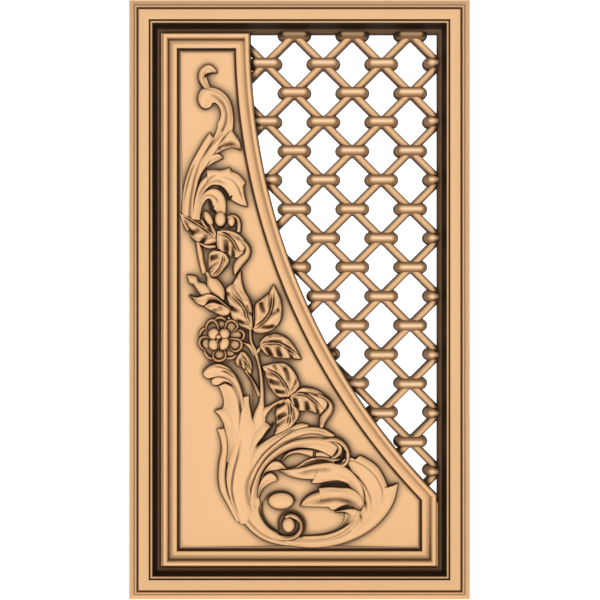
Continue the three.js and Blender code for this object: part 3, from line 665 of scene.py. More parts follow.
# A form as rows of points along it: a wall, the carved columns from left to right, and the other wall.
def loft(shape):
    size = {**carvingSizes, **formDefaults, **shape}
    marks = size["strokes"]
    isLeaf = size["section"] == "leaf"
    leftSide, rightSide = sidesOf(shape)
    length = max(smoothLine(place(side), 200)[1] for side in (leftSide, rightSide))
    rows = max(size["fewestRows"], math.ceil(length / size["spacing"]))
    left = smoothLine(place(leftSide), rows + 1)[0]
    right = smoothLine(place(rightSide), rows + 1)[0]
    side, width = crossways(left, right)
    middle = (left + right) / 2
    drawnIn = [notches(edge, marks) if isLeaf else 0 for edge in (left, right)]
    halves = [np.maximum(width / 2 - notch, width * size["lobeShare"])[:, None] for notch in drawnIn]
    left, right = middle - side * halves[0], middle + side * halves[1]
    rib = smoothLine(place(shape["rib"]), rows + 1)[0] if "rib" in shape else middle
    s = columnPlaces(width.max())
    first = np.clip(2 * s, 0, 1)[None, :, None]
    second = np.clip(2 * s - 1, 0, 1)[None, :, None]
    flat = left[:, None] * (1 - first) + rib[:, None] * (first - second) + right[:, None] * second
    t = np.linspace(0, 1, rows + 1)
    share = swellAlong(t, size["base"], size["tip"])[:, None] * sectionShares(size["section"], s)[None, :]
    fromEdge = np.minimum(s, 1 - s)[None, :] * width[:, None]
    radius = np.minimum(size["edgeRadius"], size["edgeWidthShare"] * width)[:, None]
    share = share * edgeFactor(fromEdge, radius, size["edgeShare"])
    fromTip = ((1 - t) * length)[:, None]
    share = share * edgeFactor(fromTip, size["tipRadius"], size["tipShare"])
    ground = panelSizes["ground"]
    height = ground + size["rise"] * np.maximum(share, size["leastShare"])
    foot = np.full(rows + 1, ground - size["bedding"])
    out = side * size["draft"]
    columns = [np.c_[flat[:, j], height[:, j]] for j in range(len(s))]
    columns.insert(0, np.c_[left - out * size["wallBend"], height[:, 0]])
    columns.insert(0, np.c_[left - out, foot])
    columns.append(np.c_[right + out * size["wallBend"], height[:, -1]])
    columns.append(np.c_[right + out, foot])
    grid = np.stack(columns, 1)
    leaf = None
    if isLeaf:
        fromRib = np.clip(np.abs(2 * s - 1) * size["ribFadeSlope"], 0, 1)
        fade = size["ribFade"] + (1 - size["ribFade"]) * fromRib
        leaf = np.broadcast_to(fade, (rows + 1, len(s)))
    # Shade is painted by the strokes on the upper side and on both walls.
    glaze = np.zeros(grid.shape[:2])
    glaze[:, 2:-2] = engrave(grid[:, 2:-2], marks, leaf)
    glaze[:, [0, 1, -2, -1]] = size["paintedWallShade"]
    for wall, beside in ((1, 2), (-2, -3)):
        grid[:, wall, 2] = ground + (grid[:, beside, 2] - ground) * size["wallShare"]
    return grid, glaze


# A berry, boss or petal as rings of points from its foot up to its crown.
def dome(shape):
    size = {**carvingSizes, **domeDefaults, **shape}
    lean = math.radians(size["turn"])
    angle = np.linspace(0, 2 * math.pi, size["sides"], endpoint=False)
    ground = panelSizes["ground"]
    spread = 1 + size["draft"] / (drawing["unit"] * max(size["radii"]))
    levels = [
        (spread, ground - size["bedding"]),
        (1 + (spread - 1) * size["domeWallBend"], ground + size["rise"] * size["domeWallShare"]),
    ]
    for share in np.linspace(1, 0, size["rings"] + 1)[:-1]:
        crown = math.sqrt(1 - share ** size["domeFullness"])
        levels.append((share, ground + size["rise"] * (size["domeFoot"] + (1 - size["domeFoot"]) * crown)))
    rows = []
    for share, h in levels:
        acrossArm = size["radii"][0] * share * np.cos(angle)
        alongArm = size["radii"][1] * share * np.sin(angle)
        x = size["centre"][0] + acrossArm * math.cos(lean) + alongArm * math.sin(lean)
        y = size["centre"][1] + acrossArm * math.sin(lean) - alongArm * math.cos(lean)
        rows.append(np.c_[place(np.stack([x, y], -1)), np.full(len(angle), h)])
    grid = np.stack(rows, 0)
    # Shade is painted over the dome by its shade value, and more on its foot and wall.
    glaze = np.full(grid.shape[:2], float(size["shade"]))
    glaze[:2] = size["paintedWallShade"]
    return grid, glaze, rows[-1].mean(0)


# The carved forms. Each lies between its left and right outlines, or along one line of its own width, in the
# drawing's units. Its rise over the ground, the half widths and depths of its strokes and its draft are in
# millimetres. Base and tip are the shares of the rise that it starts and ends with.
carving = {
    "hookCurl": {
        "rise": 6.5,
        "left": [(203.5, 88), (199, 81), (198, 75), (200.5, 68), (208.5, 63.8), (214, 67), (217, 71.5)],
        "right": [
            (210.5, 88), (208.2, 82), (206.8, 77.5), (207.5, 75), (211, 73), (214.5, 72.3), (217, 71.8)],
        "strokes": [
            ("cut", 1.6, 3.5, [(204.8, 77.5), (206.5, 75), (210.5, 73.6), (214, 73)]),
            ("puff", 2, 1.2, [
                (206, 87), (202.5, 81), (201.5, 75), (204, 69.5), (209, 66.5), (213.5, 69), (216, 71.5)]),
        ],
    },
    "voluteStem": {
        "rise": 7.5, "section": "ridgeLeft", "base": 0.4,
        "left": [
            (224, 148), (229, 141), (232, 133), (233.3, 117), (229, 99), (220, 90), (209, 87), (201.5, 89.5),
            (198, 95.5), (198.3, 102), (201.5, 107), (205.5, 108.6)],
        "right": [
            (206, 150), (210, 142), (214, 136), (217, 128), (217.8, 123), (219.3, 121.5), (219.3, 121.5),
            (221, 114), (219.3, 107), (215.5, 102.6), (212.3, 102.8), (212.3, 102.8), (210.5, 106.2),
            (205.7, 108.8)],
        "strokes": [
            ("puff", 5.5, 2, [(204.6, 97), (205, 101)]),
            ("puff", 1.8, 1.4, [
                (207, 91), (214, 93.5), (221, 97), (227, 104), (229.3, 113), (228, 122), (224.5, 130),
                (221, 136)]),
            ("cut", 2.2, 1.6, [
                (210.5, 95), (216, 98.5), (222, 104), (225.3, 112), (225, 122), (221.5, 131), (216, 141)]),
        ],
    },
    "upperSweepLeft": {
        "rise": 6, "section": "round",
        "left": [
            (181, 217), (182, 198), (184, 185), (187.5, 172), (192, 161), (198, 150), (204, 139),
            (209.5, 132)],
        "right": [
            (190, 217), (191, 201), (193, 188), (196, 175), (201, 163), (206, 152), (211, 143),
            (213.6, 137.8), (213.6, 137.8), (210, 132.3)],
        "strokes": [
            ("puff", 1.6, 1.2, [
                (209, 135), (204, 143.5), (199, 151), (194.5, 159), (190.5, 168), (187.5, 176), (185, 184),
                (184, 191)]),
            ("cut", 1.3, 1.5, [(195, 160), (192, 168), (189.5, 176), (187, 184), (185, 192), (183.5, 200)]),
            ("puff", 2.2, 1, [(196, 168), (192.5, 179), (190, 190), (188, 202), (187, 212)]),
        ],
    },
    "upperSweep": {
        "rise": 7, "section": "ridgeRight",
        "left": [
            (188, 218), (189, 201), (191, 188), (194, 174), (199, 161), (206, 149), (213, 138), (217, 129)],
        "right": [
            (194, 219), (194.5, 201), (197, 188), (201, 175), (209, 163), (217, 150), (224, 139), (229, 131)],
        "strokes": [
            ("puff", 2, 1.2, [(222, 137), (212, 147), (206, 155), (201, 163), (197.5, 173), (195, 183)]),
            ("cut", 2.2, 1.3, [(214, 137), (208, 146.5), (202, 156)]),
        ],
    },
    "upperLobe": {
        "rise": 8, "section": "ridgeLeft", "base": 0.05,
        "left": [
            (206, 158), (216, 147), (225, 137.5), (231, 130.5), (235.8, 135.8), (239.6, 141.2), (241, 149.3)],
        "right": [(201, 168), (210, 158), (218, 152.5), (226, 148.3), (233, 147), (241.3, 149.5)],
        "strokes": [
            ("puff", 2.6, 1.2, [(222, 145), (229, 140), (234, 140.5), (238, 144.5), (240, 148)]),
            ("cut", 3.2, 2.6, [(216, 151), (222, 147), (229, 145), (236, 146)]),
        ],
    },
    "upperBarb": {
        "rise": 6.5, "section": "ridgeLeft",
        "left": [(203, 160), (212, 154.5), (218.5, 153.5), (223.3, 157.5)],
        "right": [(200, 174), (207, 167), (214, 162), (223.3, 157.8)],
    },
    "canopy": {
        "rise": 7.5,
        "left": [
            (191, 219), (194.5, 198), (200, 182), (207.8, 174.5), (207.8, 174.5), (206.8, 169.8),
            (206.8, 169.8), (213, 169.3), (221, 169.8), (229.3, 167.3), (229.3, 167.3), (231.3, 171),
            (231.3, 171), (238, 173.8), (245.5, 182.2), (245.5, 182.2), (243.6, 184.8), (243.6, 184.8),
            (244.2, 193), (247.5, 206.3)],
        "right": [
            (200, 220), (201, 203), (205, 191), (212, 185), (219, 185.5), (226, 191), (231, 199),
            (238, 203.5), (247, 206.5)],
        "strokes": [
            ("taper", 1.4, 1.8, [(216, 177), (226, 177.5), (234, 182), (239, 190), (242.5, 200)]),
            ("taper", 1.5, 1.2, [(196, 204), (201, 193), (208, 184), (217, 181), (226, 184)]),
            ("taper", 1.6, 1.2, [(194, 208), (198, 197), (204, 187), (211, 178), (218, 174)]),
        ],
    },
    "canopyInner": {
        "rise": 6.5,
        "left": [
            (195, 214), (199, 200), (205, 191.5), (213, 188), (219.5, 190), (224, 195.5), (226, 204),
            (225.5, 214)],
        "right": [(200.5, 214), (202.5, 205), (206, 199.8), (209.5, 199), (212, 203), (213, 208), (217, 214)],
        "strokes": [
            ("taper", 1.3, 1.4, [(199, 210), (202, 201), (207, 195.5), (214, 197), (219, 204)]),
        ],
    },
    "berryCurl": {
        "rise": 7.5, "section": "round",
        "left": [(226, 217), (228.5, 215.3), (233, 214.2), (238.5, 217), (241, 224), (240.5, 232.5)],
        "right": [(229, 219), (231.5, 217.8), (233.5, 217.3), (236, 219.5), (237, 224), (236, 232.5)],
    },
    "leafA": {
        "rise": 9.5, "section": "leaf",
        "left": [
            (216.5, 242), (211, 244), (205, 244.5), (199, 243), (193, 239), (188.5, 233), (184, 226),
            (178.5, 212.6)],
        "right": [
            (216, 231), (213, 226), (208, 221), (203, 220), (199, 218.5), (194, 216.5), (186, 215.5),
            (178.5, 212.3)],
        "rib": [(215.5, 238), (208, 231.5), (200, 225), (190, 219.5), (179, 213)],
        "strokes": [
            ("rib", 1.0, 1.8, [(181, 214.3), (190, 219), (197, 223.3), (203, 227.3), (208, 231), (215, 237)]),
            ("puff", 4.2, 3.4, [(190, 225), (194, 228)]),
            ("puff", 4.2, 3.6, [(197, 236), (203, 235)]),
            ("puff", 3.4, 3, [(207, 241.5), (213, 239.5)]),
            ("puff", 1.8, 2.2, [(202, 220), (204.5, 224.5), (207, 229)]),
            ("puff", 1.8, 2.2, [(209, 223), (211.5, 227), (214, 231.5)]),
            ("cut", 1.6, 4.5, [(205.5, 220), (208, 225), (210.5, 230.5)]),
            ("cut", 1.5, 4.5, [(189, 232), (194, 232), (199, 229)]),
            ("cut", 1.5, 4.5, [(201, 243.5), (205, 238.5), (207, 234)]),
            ("cut", 1.3, 3, [(184, 219), (187.5, 227), (192, 234.5)]),
            ("cut", 1.2, 3.5, [(196, 219), (199, 221), (201, 224)]),
        ],
    },
    "leafB": {
        "rise": 10, "section": "leaf",
        "left": [(216.5, 231), (224, 229.5), (231, 230.5), (238, 233.5), (244, 239), (249, 246)],
        "right": [(216.5, 242), (217, 247), (221, 251.3), (226, 252.5), (232, 257.5), (240, 257), (247, 249)],
        "rib": [(217.5, 232), (227, 235.5), (233, 242), (240, 254)],
        "strokes": [
            ("rib", 1.0, 1.6, [(218, 232), (226, 235), (232, 240), (236, 247), (239.5, 254)]),
            ("puff", 4, 3, [(220.5, 237), (221, 247)]),
            ("puff", 2.6, 2.6, [(229.5, 243), (230.5, 253)]),
            ("cut", 2.0, 4.5, [(226.5, 239), (226.5, 251)]),
            ("cut", 1.5, 4, [(233.5, 246), (233, 257)]),
            ("puff", 1.4, 1.4, [(222, 231), (231, 232), (239, 236), (243, 240)]),
            ("cut", 1.3, 2.5, [(224, 232.5), (232, 236), (240, 239.5)]),
        ],
    },
    "leafBFold": {
        "rise": 9, "section": "round",
        "left": [(243, 239), (248, 244), (250.5, 250), (249, 257), (243, 264.5), (239, 270), (235.3, 275.5)],
        "right": [(241, 243), (245, 248), (244, 253), (237.5, 258), (233.8, 264), (233, 270), (234, 275.5)],
    },
    "leafC": {
        "rise": 8, "section": "leaf",
        "left": [(227, 256), (229, 261), (223, 270), (217, 276), (210.5, 277.5)],
        "right": [(212, 250.5), (208.5, 255), (208, 263), (208.5, 270), (209.5, 277.5)],
        "rib": [(222, 252), (222, 262), (218, 270), (210, 277.5)],
        "strokes": [
            ("rib", 0.9, 1.5, [(224, 254), (223, 262), (219, 270), (212, 276.5)]),
            ("puff", 3, 2.4, [(210, 253.5), (219, 252)]),
            ("puff", 2.6, 2.2, [(211, 264), (218, 260)]),
            ("puff", 2.4, 2, [(225, 262), (222, 270)]),
            ("cut", 1.8, 4, [(210, 258), (218, 256)]),
            ("cut", 1.3, 3, [(209, 269), (214, 265.5), (219, 262)]),
            ("cut", 1, 1.8, [(210.5, 272), (215, 268)]),
        ],
    },
    "twigLong": {
        "rise": 6, "section": "round",
        "left": [(195.5, 242), (197, 253), (199, 263), (201.5, 274)],
        "right": [(200, 243), (202.5, 252), (204, 262), (207, 273)],
    },
    "twigBent": {
        "rise": 6, "section": "round",
        "left": [(199, 244), (207, 248.5), (216, 248)],
        "right": [(199, 242), (208, 244.5), (216, 244.5)],
    },
    "budLeft": {
        "rise": 8, "section": "round",
        "left": [
            (211, 291), (209, 287), (205, 283.7), (198.5, 281), (196.5, 276.5), (192, 275), (186.5, 274.6)],
        "right": [(209, 294), (202, 296), (199, 293), (196, 289), (193, 284.7), (189.3, 283), (186.5, 275.2)],
    },
    "budRight": {
        "rise": 9.5, "section": "round",
        "left": [(222, 300), (216, 296), (210, 291.5), (206.8, 285), (206.5, 278), (204, 272)],
        "right": [(225, 299), (224.5, 290), (221.5, 284), (217, 279), (212, 277), (208.5, 271)],
    },
    "leafDFold": {
        "rise": 10, "section": "ridgeLeft",
        "left": [(231, 308.5), (223, 301.5), (216, 296), (208, 293), (202, 295.5), (196, 297), (189, 295)],
        "right": [(230, 311), (223, 305.5), (216, 300.5), (209, 300), (204, 305.5), (198, 304), (189, 295.2)],
    },
    "leafD": {
        "rise": 8.5, "section": "leaf",
        "left": [(231, 309.5), (224, 304.5), (217, 301), (210, 301), (204.5, 304.5)],
        "right": [(231, 311), (228, 315), (222, 316), (215.5, 313), (210, 310.5), (204.5, 307)],
        "strokes": [
            ("cut", 1.4, 3, [(206, 303.5), (210, 301), (216, 301.5), (221, 303)]),
            ("puff", 1.2, 1.4, [(209, 304), (214, 303), (220, 305), (226, 308)]),
            ("puff", 2.4, 2.2, [(209.5, 308), (217, 306.5)]),
            ("puff", 2.6, 2.2, [(217, 312), (227, 310.5)]),
            ("cut", 1.3, 3, [(214, 310.5), (221, 307.5)]),
        ],
    },
    "leafE": {
        "rise": 10.5, "section": "leaf",
        "left": [
            (250, 331), (241, 326), (232.5, 319), (230, 309), (227, 298), (226, 288.5), (232.5, 283),
            (240.3, 271)],
        "right": [
            (253, 331), (252.7, 320), (252, 308), (249.5, 299.5), (245, 292), (242.5, 285), (240.8, 271)],
        "rib": [(251.5, 329), (250, 322), (246, 314), (242, 305), (236, 298), (234, 290), (240.5, 271)],
        "strokes": [
            ("puff", 2, 2, [(237, 280), (236, 287), (240, 294), (244, 301), (246, 304)]),
            ("cut", 1.5, 3.4, [(232, 285), (234, 290), (238, 296), (242, 301)]),
            ("cut", 1.4, 3, [(226.5, 293), (231, 297), (236, 303), (241, 307)]),
            ("rib", 1.0, 1.6, [(231, 293), (236, 299), (241, 304), (245, 310), (247, 317), (251, 326)]),
            ("puff", 3.5, 2.8, [(229, 298), (234, 303.5), (240, 308)]),
            ("puff", 4.5, 3.2, [(231, 312.5), (238, 315), (246, 320)]),
            ("puff", 2.6, 2.4, [(240, 325.5), (248, 326.5)]),
            ("puff", 2.2, 2, [(248, 301), (250, 309)]),
            ("cut", 1.6, 4, [(230, 308), (236, 310), (241, 309.5)]),
            ("cut", 1.5, 4, [(238, 321), (243, 322.5), (248, 323)]),
            ("cut", 1.2, 3, [(246.5, 305), (248.5, 312), (251, 314)]),
        ],
    },
    "leafF": {
        "rise": 10, "section": "leaf",
        "left": [
            (252, 330.5), (254, 325), (254.5, 314), (255.5, 304.5), (263.5, 297.5), (269, 292.5),
            (273.3, 284.5)],
        "right": [
            (255, 332.7), (262, 333.5), (272, 330), (279.5, 322), (281.5, 314), (280.5, 300), (273.8, 284.5)],
        "rib": [(253, 329), (262, 321), (268, 315), (271, 308), (272.5, 300), (273.5, 285)],
        "strokes": [
            ("rib", 1.0, 1.7, [
                (253, 328), (259, 325), (265, 320), (269, 314.5), (271.5, 308), (272.5, 300), (273, 290)]),
            ("puff", 3.5, 2.8, [(257.5, 303), (258, 318)]),
            ("puff", 2.8, 2.4, [(267.5, 297), (266.5, 309)]),
            ("puff", 2.6, 2.4, [(279, 298), (275, 309)]),
            ("puff", 4, 2.8, [(278.5, 314), (268, 323)]),
            ("puff", 2.6, 2.2, [(256, 329.5), (268, 330)]),
            ("cut", 1.5, 4, [(260.5, 302), (262, 307), (264.5, 312)]),
            ("cut", 1.2, 3, [(269, 294), (270, 300), (269.5, 307)]),
            ("cut", 1.3, 3.5, [(279, 309.5), (275, 312), (271, 314)]),
            ("cut", 1.4, 4, [(262, 326), (267, 327), (274, 326.5)]),
        ],
    },
    "leafG": {
        "rise": 9.5, "section": "leaf",
        "left": [
            (260.5, 341), (264, 337), (270, 334.5), (276, 333.8), (283, 336), (289, 340), (294, 346),
            (301.5, 359.3)],
        "right": [
            (260, 348), (264, 352.5), (269, 356), (275, 357.5), (281, 358.5), (288, 358.5), (301.5, 359.6)],
        "rib": [(260, 346), (266, 343.5), (275, 343), (283, 344.5), (290, 349), (301, 359)],
        "strokes": [
            ("rib", 1.0, 1.7, [
                (261, 347), (264, 343.8), (270, 343), (277, 343), (283, 345), (289, 349), (295, 353),
                (300, 358.5)]),
            ("puff", 2.2, 2.2, [(261.5, 342), (267, 337)]),
            ("puff", 2.8, 2.4, [(270, 338), (283, 338)]),
            ("puff", 1.8, 1.8, [(283, 341.5), (291, 346)]),
            ("cut", 1.1, 2.5, [(263, 343), (267, 339), (270, 336)]),
            ("cut", 1.2, 3, [(268, 341), (277, 341), (284, 342)]),
            ("cut", 1.0, 2, [(284, 344.5), (289, 346.5), (293, 348)]),
            ("puff", 2.2, 2.4, [(263, 348), (267, 355)]),
            ("puff", 2.6, 2.6, [(272, 346.5), (275.5, 356)]),
            ("puff", 3.2, 2.6, [(283, 347), (288, 357.5)]),
            ("puff", 2.5, 2, [(294, 355), (296, 357)]),
            ("cut", 1.5, 4.5, [(266.5, 347), (268.5, 351), (271, 356)]),
            ("cut", 1.5, 4.5, [(278, 346), (278.5, 351), (280.5, 357)]),
            ("cut", 1.1, 3, [(289, 350), (290.5, 354), (291.5, 358.5)]),
        ],
    },
    "leafH": {
        "rise": 8.5, "section": "leaf",
        "left": [(241, 351.5), (245, 352), (248, 356), (251, 361), (252, 367), (251.3, 374.3)],
        "right": [(239.5, 353.5), (236, 358), (235, 362), (238, 366), (243, 368.5), (250.8, 374.5)],
        "rib": [(240.5, 353), (244, 358.5), (247, 364), (251, 374)],
        "strokes": [
            ("rib", 0.9, 1.4, [(240, 355), (244, 359), (247.5, 364), (251, 372)]),
            ("puff", 2, 2, [(238, 359), (238, 365)]),
            ("puff", 1.8, 1.8, [(242.5, 360.5), (244, 368)]),
            ("puff", 1.6, 1.6, [(242.5, 352.5), (247, 357)]),
            ("puff", 1.3, 1.4, [(247, 359.5), (250, 364)]),
            ("puff", 1.5, 1.4, [(248.5, 366.5), (250, 373)]),
            ("cut", 1.2, 3.5, [(240, 359), (240.5, 366)]),
            ("cut", 1.0, 3, [(245.5, 362), (246, 369)]),
        ],
    },
    "leafI": {
        "rise": 10, "section": "leaf",
        "left": [
            (290, 396), (297, 390), (299.5, 385), (297, 377), (291, 368), (284, 363.3), (275, 363),
            (262, 366.3)],
        "right": [(288.5, 397.5), (279, 397), (274, 393), (270, 387), (267, 380), (264.5, 373), (262, 366.8)],
        "rib": [(289.5, 395), (286, 385), (280, 377), (272, 371), (262.5, 366.5)],
        "strokes": [
            ("rib", 1.0, 1.6, [
                (265, 368), (270, 371), (276, 374), (281, 379), (285, 385), (288, 391), (289.5, 395)]),
            ("puff", 2.6, 2.4, [(266, 375), (277, 379.5)]),
            ("puff", 3.2, 2.6, [(271, 385), (284, 388.5)]),
            ("puff", 1.6, 1.6, [(278, 394), (287, 395)]),
            ("puff", 3.4, 2.6, [(277.5, 364.5), (283, 373)]),
            ("puff", 4, 2.8, [(288.5, 367), (294, 376), (292, 385)]),
            ("puff", 1.4, 1.4, [(298, 381), (295, 388)]),
            ("cut", 1.9, 4.5, [(269, 381), (275, 382.5), (280, 382)]),
            ("cut", 1.5, 4, [(275, 391), (280, 392), (285, 391.5)]),
            ("cut", 1.0, 2, [(265, 372.5), (273, 375)]),
            ("cut", 1.2, 3, [(273.5, 365), (276, 370)]),
            ("cut", 1.5, 4, [(284.5, 367), (287, 374), (288, 381)]),
            ("cut", 1.3, 3, [(297, 380), (294, 386), (291, 391)]),
        ],
    },
    "leafK": {
        "rise": 10, "section": "leaf",
        "left": [(286, 398.5), (279, 403), (276.5, 408), (275.5, 415), (276, 421), (276, 428), (274.3, 435)],
        "right": [
            (289.5, 398.5), (294, 405), (298.5, 409.5), (299.5, 415), (296, 421), (290, 428), (274.7, 435.3)],
        "rib": [(288, 399), (290, 408), (289.5, 417), (286, 425), (274.5, 435)],
        "strokes": [
            ("rib", 1.0, 1.6, [(288, 399), (289.5, 406), (290, 413), (289, 420), (287, 427)]),
            ("puff", 1.5, 1.5, [(278, 404.5), (286, 400)]),
            ("puff", 3, 2.4, [(277.5, 411.5), (286, 406)]),
            ("puff", 1.6, 1.8, [(277.5, 423), (288, 415.5)]),
            ("puff", 2, 1.8, [(276, 433), (286, 424)]),
            ("puff", 2.4, 2.4, [(294.5, 407.5), (297, 413), (296, 419)]),
            ("puff", 1.4, 1.4, [(291, 415), (292.5, 424)]),
            ("cut", 1.4, 4, [(277, 406.5), (281, 404.5), (285, 402.5)]),
            ("cut", 1.6, 4.5, [(277, 418), (281, 416), (286, 413.5)]),
            ("cut", 1.2, 3, [(277, 425.5), (282, 422), (286, 419)]),
            ("cut", 1.2, 3, [(292, 408), (293, 414), (293.5, 420)]),
        ],
    },
    "leafL": {
        "rise": 9.5, "section": "leaf",
        "left": [(291, 394.5), (297, 391), (303, 387.5), (310, 388), (316, 389.7), (322, 393), (329, 400)],
        "right": [
            (289.5, 397.5), (292, 403), (297, 410), (305, 411), (312, 411.5), (319.5, 414.5), (327, 407)],
        "rib": [(291, 396), (300, 394), (308, 397), (315, 402), (326, 411)],
        "strokes": [
            ("rib", 1.0, 1.6, [(292, 395.5), (299, 393.5), (306, 395), (312, 399), (317, 403.5), (321, 408)]),
            ("puff", 1.4, 1.4, [(297, 390), (302, 388.5), (308, 389.5)]),
            ("puff", 1.2, 1.3, [(303, 391.5), (311, 391), (318, 394)]),
            ("cut", 1.1, 3, [(301, 393), (310, 393.5), (318, 395.5)]),
            ("puff", 1.8, 1.8, [(291, 397.5), (293.5, 404.5)]),
            ("puff", 3.4, 2.6, [(300, 398), (302, 409)]),
            ("puff", 2.6, 2.2, [(309, 401), (315, 412)]),
            ("cut", 1.5, 4.5, [(294.5, 398), (296, 402), (297, 407)]),
            ("cut", 1.5, 4.5, [(306.5, 401), (307, 406), (307.5, 410.5)]),
            ("cut", 1.2, 3.5, [(316, 405.5), (317.5, 410), (318, 414)]),
        ],
    },
    "leafLFold": {
        "rise": 9, "section": "round",
        "left": [(318, 392), (325, 396), (331, 401), (333.5, 407), (331.5, 414), (326.5, 421), (323.5, 428)],
        "right": [(318, 397), (323, 398.5), (327, 402), (327, 406.5), (323, 411.5), (320, 417), (319, 428)],
        "strokes": [
            ("puff", 1.6, 1.2, [
                (312, 395.5), (320, 396), (327, 400), (331, 405), (330, 411), (326, 417), (322, 424)]),
            ("cut", 1.2, 2, [(318, 396.5), (324, 400), (328, 405), (326, 409), (321, 414), (319.5, 419)]),
        ],
    },
    "mainStem": {
        "rise": 7.5, "section": "round", "tip": 0.4,
        "left": [
            (248.5, 330), (249, 340), (252, 350), (256.5, 362), (259, 376), (259.5, 390), (258.3, 403),
            (253.6, 414), (250, 428), (247, 446)],
        "right": [
            (251.5, 330), (253, 342), (257, 350), (259.5, 360), (262.5, 374), (264, 390), (264.5, 406),
            (265.5, 420), (262, 433), (256, 446)],
    },
    "flowerTwig": {
        "rise": 5.5, "section": "round",
        "left": [(243, 343.5), (249, 349), (254, 358)],
        "right": [(244, 342), (251, 344), (256, 351)],
    },
    "leafHTwig": {
        "rise": 6, "section": "round",
        "left": [(247, 369.5), (252, 377), (256, 384), (261, 394)],
        "right": [(244.3, 371), (249, 379), (254, 388), (258, 398)],
        "strokes": [
            ("rib", 0.9, 1.2, [(245, 371), (252, 380), (258, 390), (260, 397)]),
        ],
    },
    "leafGTwig": {
        "rise": 6, "section": "round",
        "left": [(254, 350), (257, 348.5), (261, 345)],
        "right": [(257, 356), (259.5, 352), (262, 349)],
    },
    "leafKTwig": {
        "rise": 6, "section": "round",
        "left": [(262, 408), (268, 406), (277, 401), (288, 397)],
        "right": [(264, 421), (268, 413), (275, 406), (289, 400.5)],
    },
    "lowerCurlTop": {
        "rise": 9, "base": 0.3,
        "left": [
            (246, 430), (245, 412), (243.5, 398), (241.3, 388), (236, 376.3), (228, 367.3), (219, 363.6),
            (211, 365), (205.3, 368.8), (203, 372.6), (204, 376)],
        "right": [
            (240, 430), (240, 412), (237, 397), (232, 386), (226, 379), (219, 377), (212.5, 378),
            (207.5, 378.5), (204.2, 376.5)],
        "strokes": [
            ("cut", 1.4, 2, [(213, 365.5), (222, 367), (229, 370), (235, 376)]),
            ("cut", 1.2, 2.2, [(221, 371), (226, 372), (231, 375), (235, 378)]),
        ],
    },
    "lowerCurl": {
        "rise": 8,
        "left": [(242, 412), (239, 395), (231, 381), (223, 377), (216, 376.5), (211, 380)],
        "right": [(240.5, 410), (237, 391.5), (230, 384), (224, 382), (218, 385), (213, 385), (211, 381.5)],
    },
    "lowerLeafLeft": {
        "rise": 7, "section": "ridgeRight",
        "left": [(226, 462), (227.5, 445), (224, 426), (221, 414), (223.5, 404), (222.5, 396), (218.5, 386)],
        "right": [(237, 462), (241, 440), (241, 420), (240.5, 406), (238, 395), (233, 387), (225, 383)],
        "strokes": [
            ("cut", 1.4, 2, [(233, 383), (236, 389), (239, 396), (240.5, 405), (240.5, 414)]),
            ("cut", 1.2, 1.6, [(240.5, 414), (241, 428), (240, 440)]),
        ],
    },
    "lowerBarbLeft": {
        "rise": 6, "section": "round",
        "left": [(228, 434), (224, 425), (219, 416), (214, 411.3)],
        "right": [(236, 418), (230, 410), (222, 408.7), (214.3, 410.7)],
    },
    "lowerStrip": {
        "rise": 6.2, "section": "round", "base": 0.3,
        "left": [
            (236, 522), (226, 503), (220, 491), (218, 477), (219, 462), (221.3, 449), (219.5, 437),
            (216.5, 429)],
        "right": [
            (241, 522), (233, 505), (228, 493), (225.5, 478), (226.5, 462), (228, 448), (227, 437),
            (224.5, 428.5)],
    },
    "lowerBody": {
        "rise": 8, "base": 0.5,
        "left": [
            (240, 524), (230, 500), (226, 480), (228, 462), (232, 446), (236, 430), (240, 412), (242, 397)],
        "right": [
            (262, 524), (254, 505), (250, 488), (252, 470), (256, 452), (258, 440), (257, 430), (253, 421),
            (251.3, 413), (249.3, 404), (249, 395.5)],
        "strokes": [
            ("cut", 1.6, 2, [(241, 440), (238, 455), (233, 475), (231.5, 490), (234, 503), (238, 515)]),
            ("cut", 2.6, 1.2, [(252, 470), (247, 485), (248, 500), (253, 514)]),
        ],
    },
    "lowerLobeRight": {
        "rise": 7, "section": "ridgeRight", "base": 0.3,
        "left": [
            (246, 462), (247, 447), (249, 436), (253, 428), (258, 423), (263, 421.6), (267, 423.4),
            (271, 425.5)],
        "right": [(252, 468), (253.5, 455), (255, 448), (258.5, 442.5), (263, 437), (267, 431), (271, 426.5)],
        "strokes": [
            ("cut", 1.2, 1.5, [(256.5, 419), (258, 424)]),
        ],
    },
    "scrollBack": {
        "rise": 7, "section": "round", "base": 0.1,
        "left": [
            (242, 490), (246, 468), (254, 449.5), (264, 441.5), (275, 435), (290, 427), (300, 423.5),
            (308, 424)],
        "right": [
            (250, 495), (254, 474), (262, 459), (272, 448), (284, 439), (295, 433), (303, 430), (309, 427)],
        "strokes": [
            ("taper", 1.6, 1.6, [(262, 447), (272, 440), (285, 433), (297, 428)]),
        ],
    },
    "scrollMiddle": {
        "rise": 8.5, "base": 0.15,
        "left": [
            (244, 500), (250, 475), (262, 455), (276, 442), (292, 431), (307, 427), (322, 428), (335, 434.7)],
        "right": [
            (250, 503), (257, 480), (267, 461), (280, 449), (295, 441), (310, 438), (322, 438.5),
            (333, 438.5)],
        "strokes": [
            ("taper", 1.4, 1.8, [(280, 437), (290, 433.5), (300, 431), (310, 430), (322, 431.5), (331, 435)]),
            ("taper", 1.1, 1.6, [(262, 462), (276, 447), (296, 438), (306, 434.5), (318, 434.5), (330, 438)]),
        ],
    },
    "scrollFront": {
        "rise": 9.5, "base": 0.25,
        "left": [
            (248, 512), (252, 485), (262, 463), (277, 448), (293, 440), (310, 437), (327, 438), (340, 444.5)],
        "right": [
            (260, 506), (258.5, 488), (264, 470), (277, 457), (292, 449.5), (306, 448), (320, 451),
            (333, 458)],
        "strokes": [
            ("puff", 2.8, 1.6, [
                (252, 500), (256, 480), (266, 462), (280, 450), (295, 443.5), (312, 441), (328, 443),
                (336, 448)]),
            ("taper", 1.8, 1.2, [
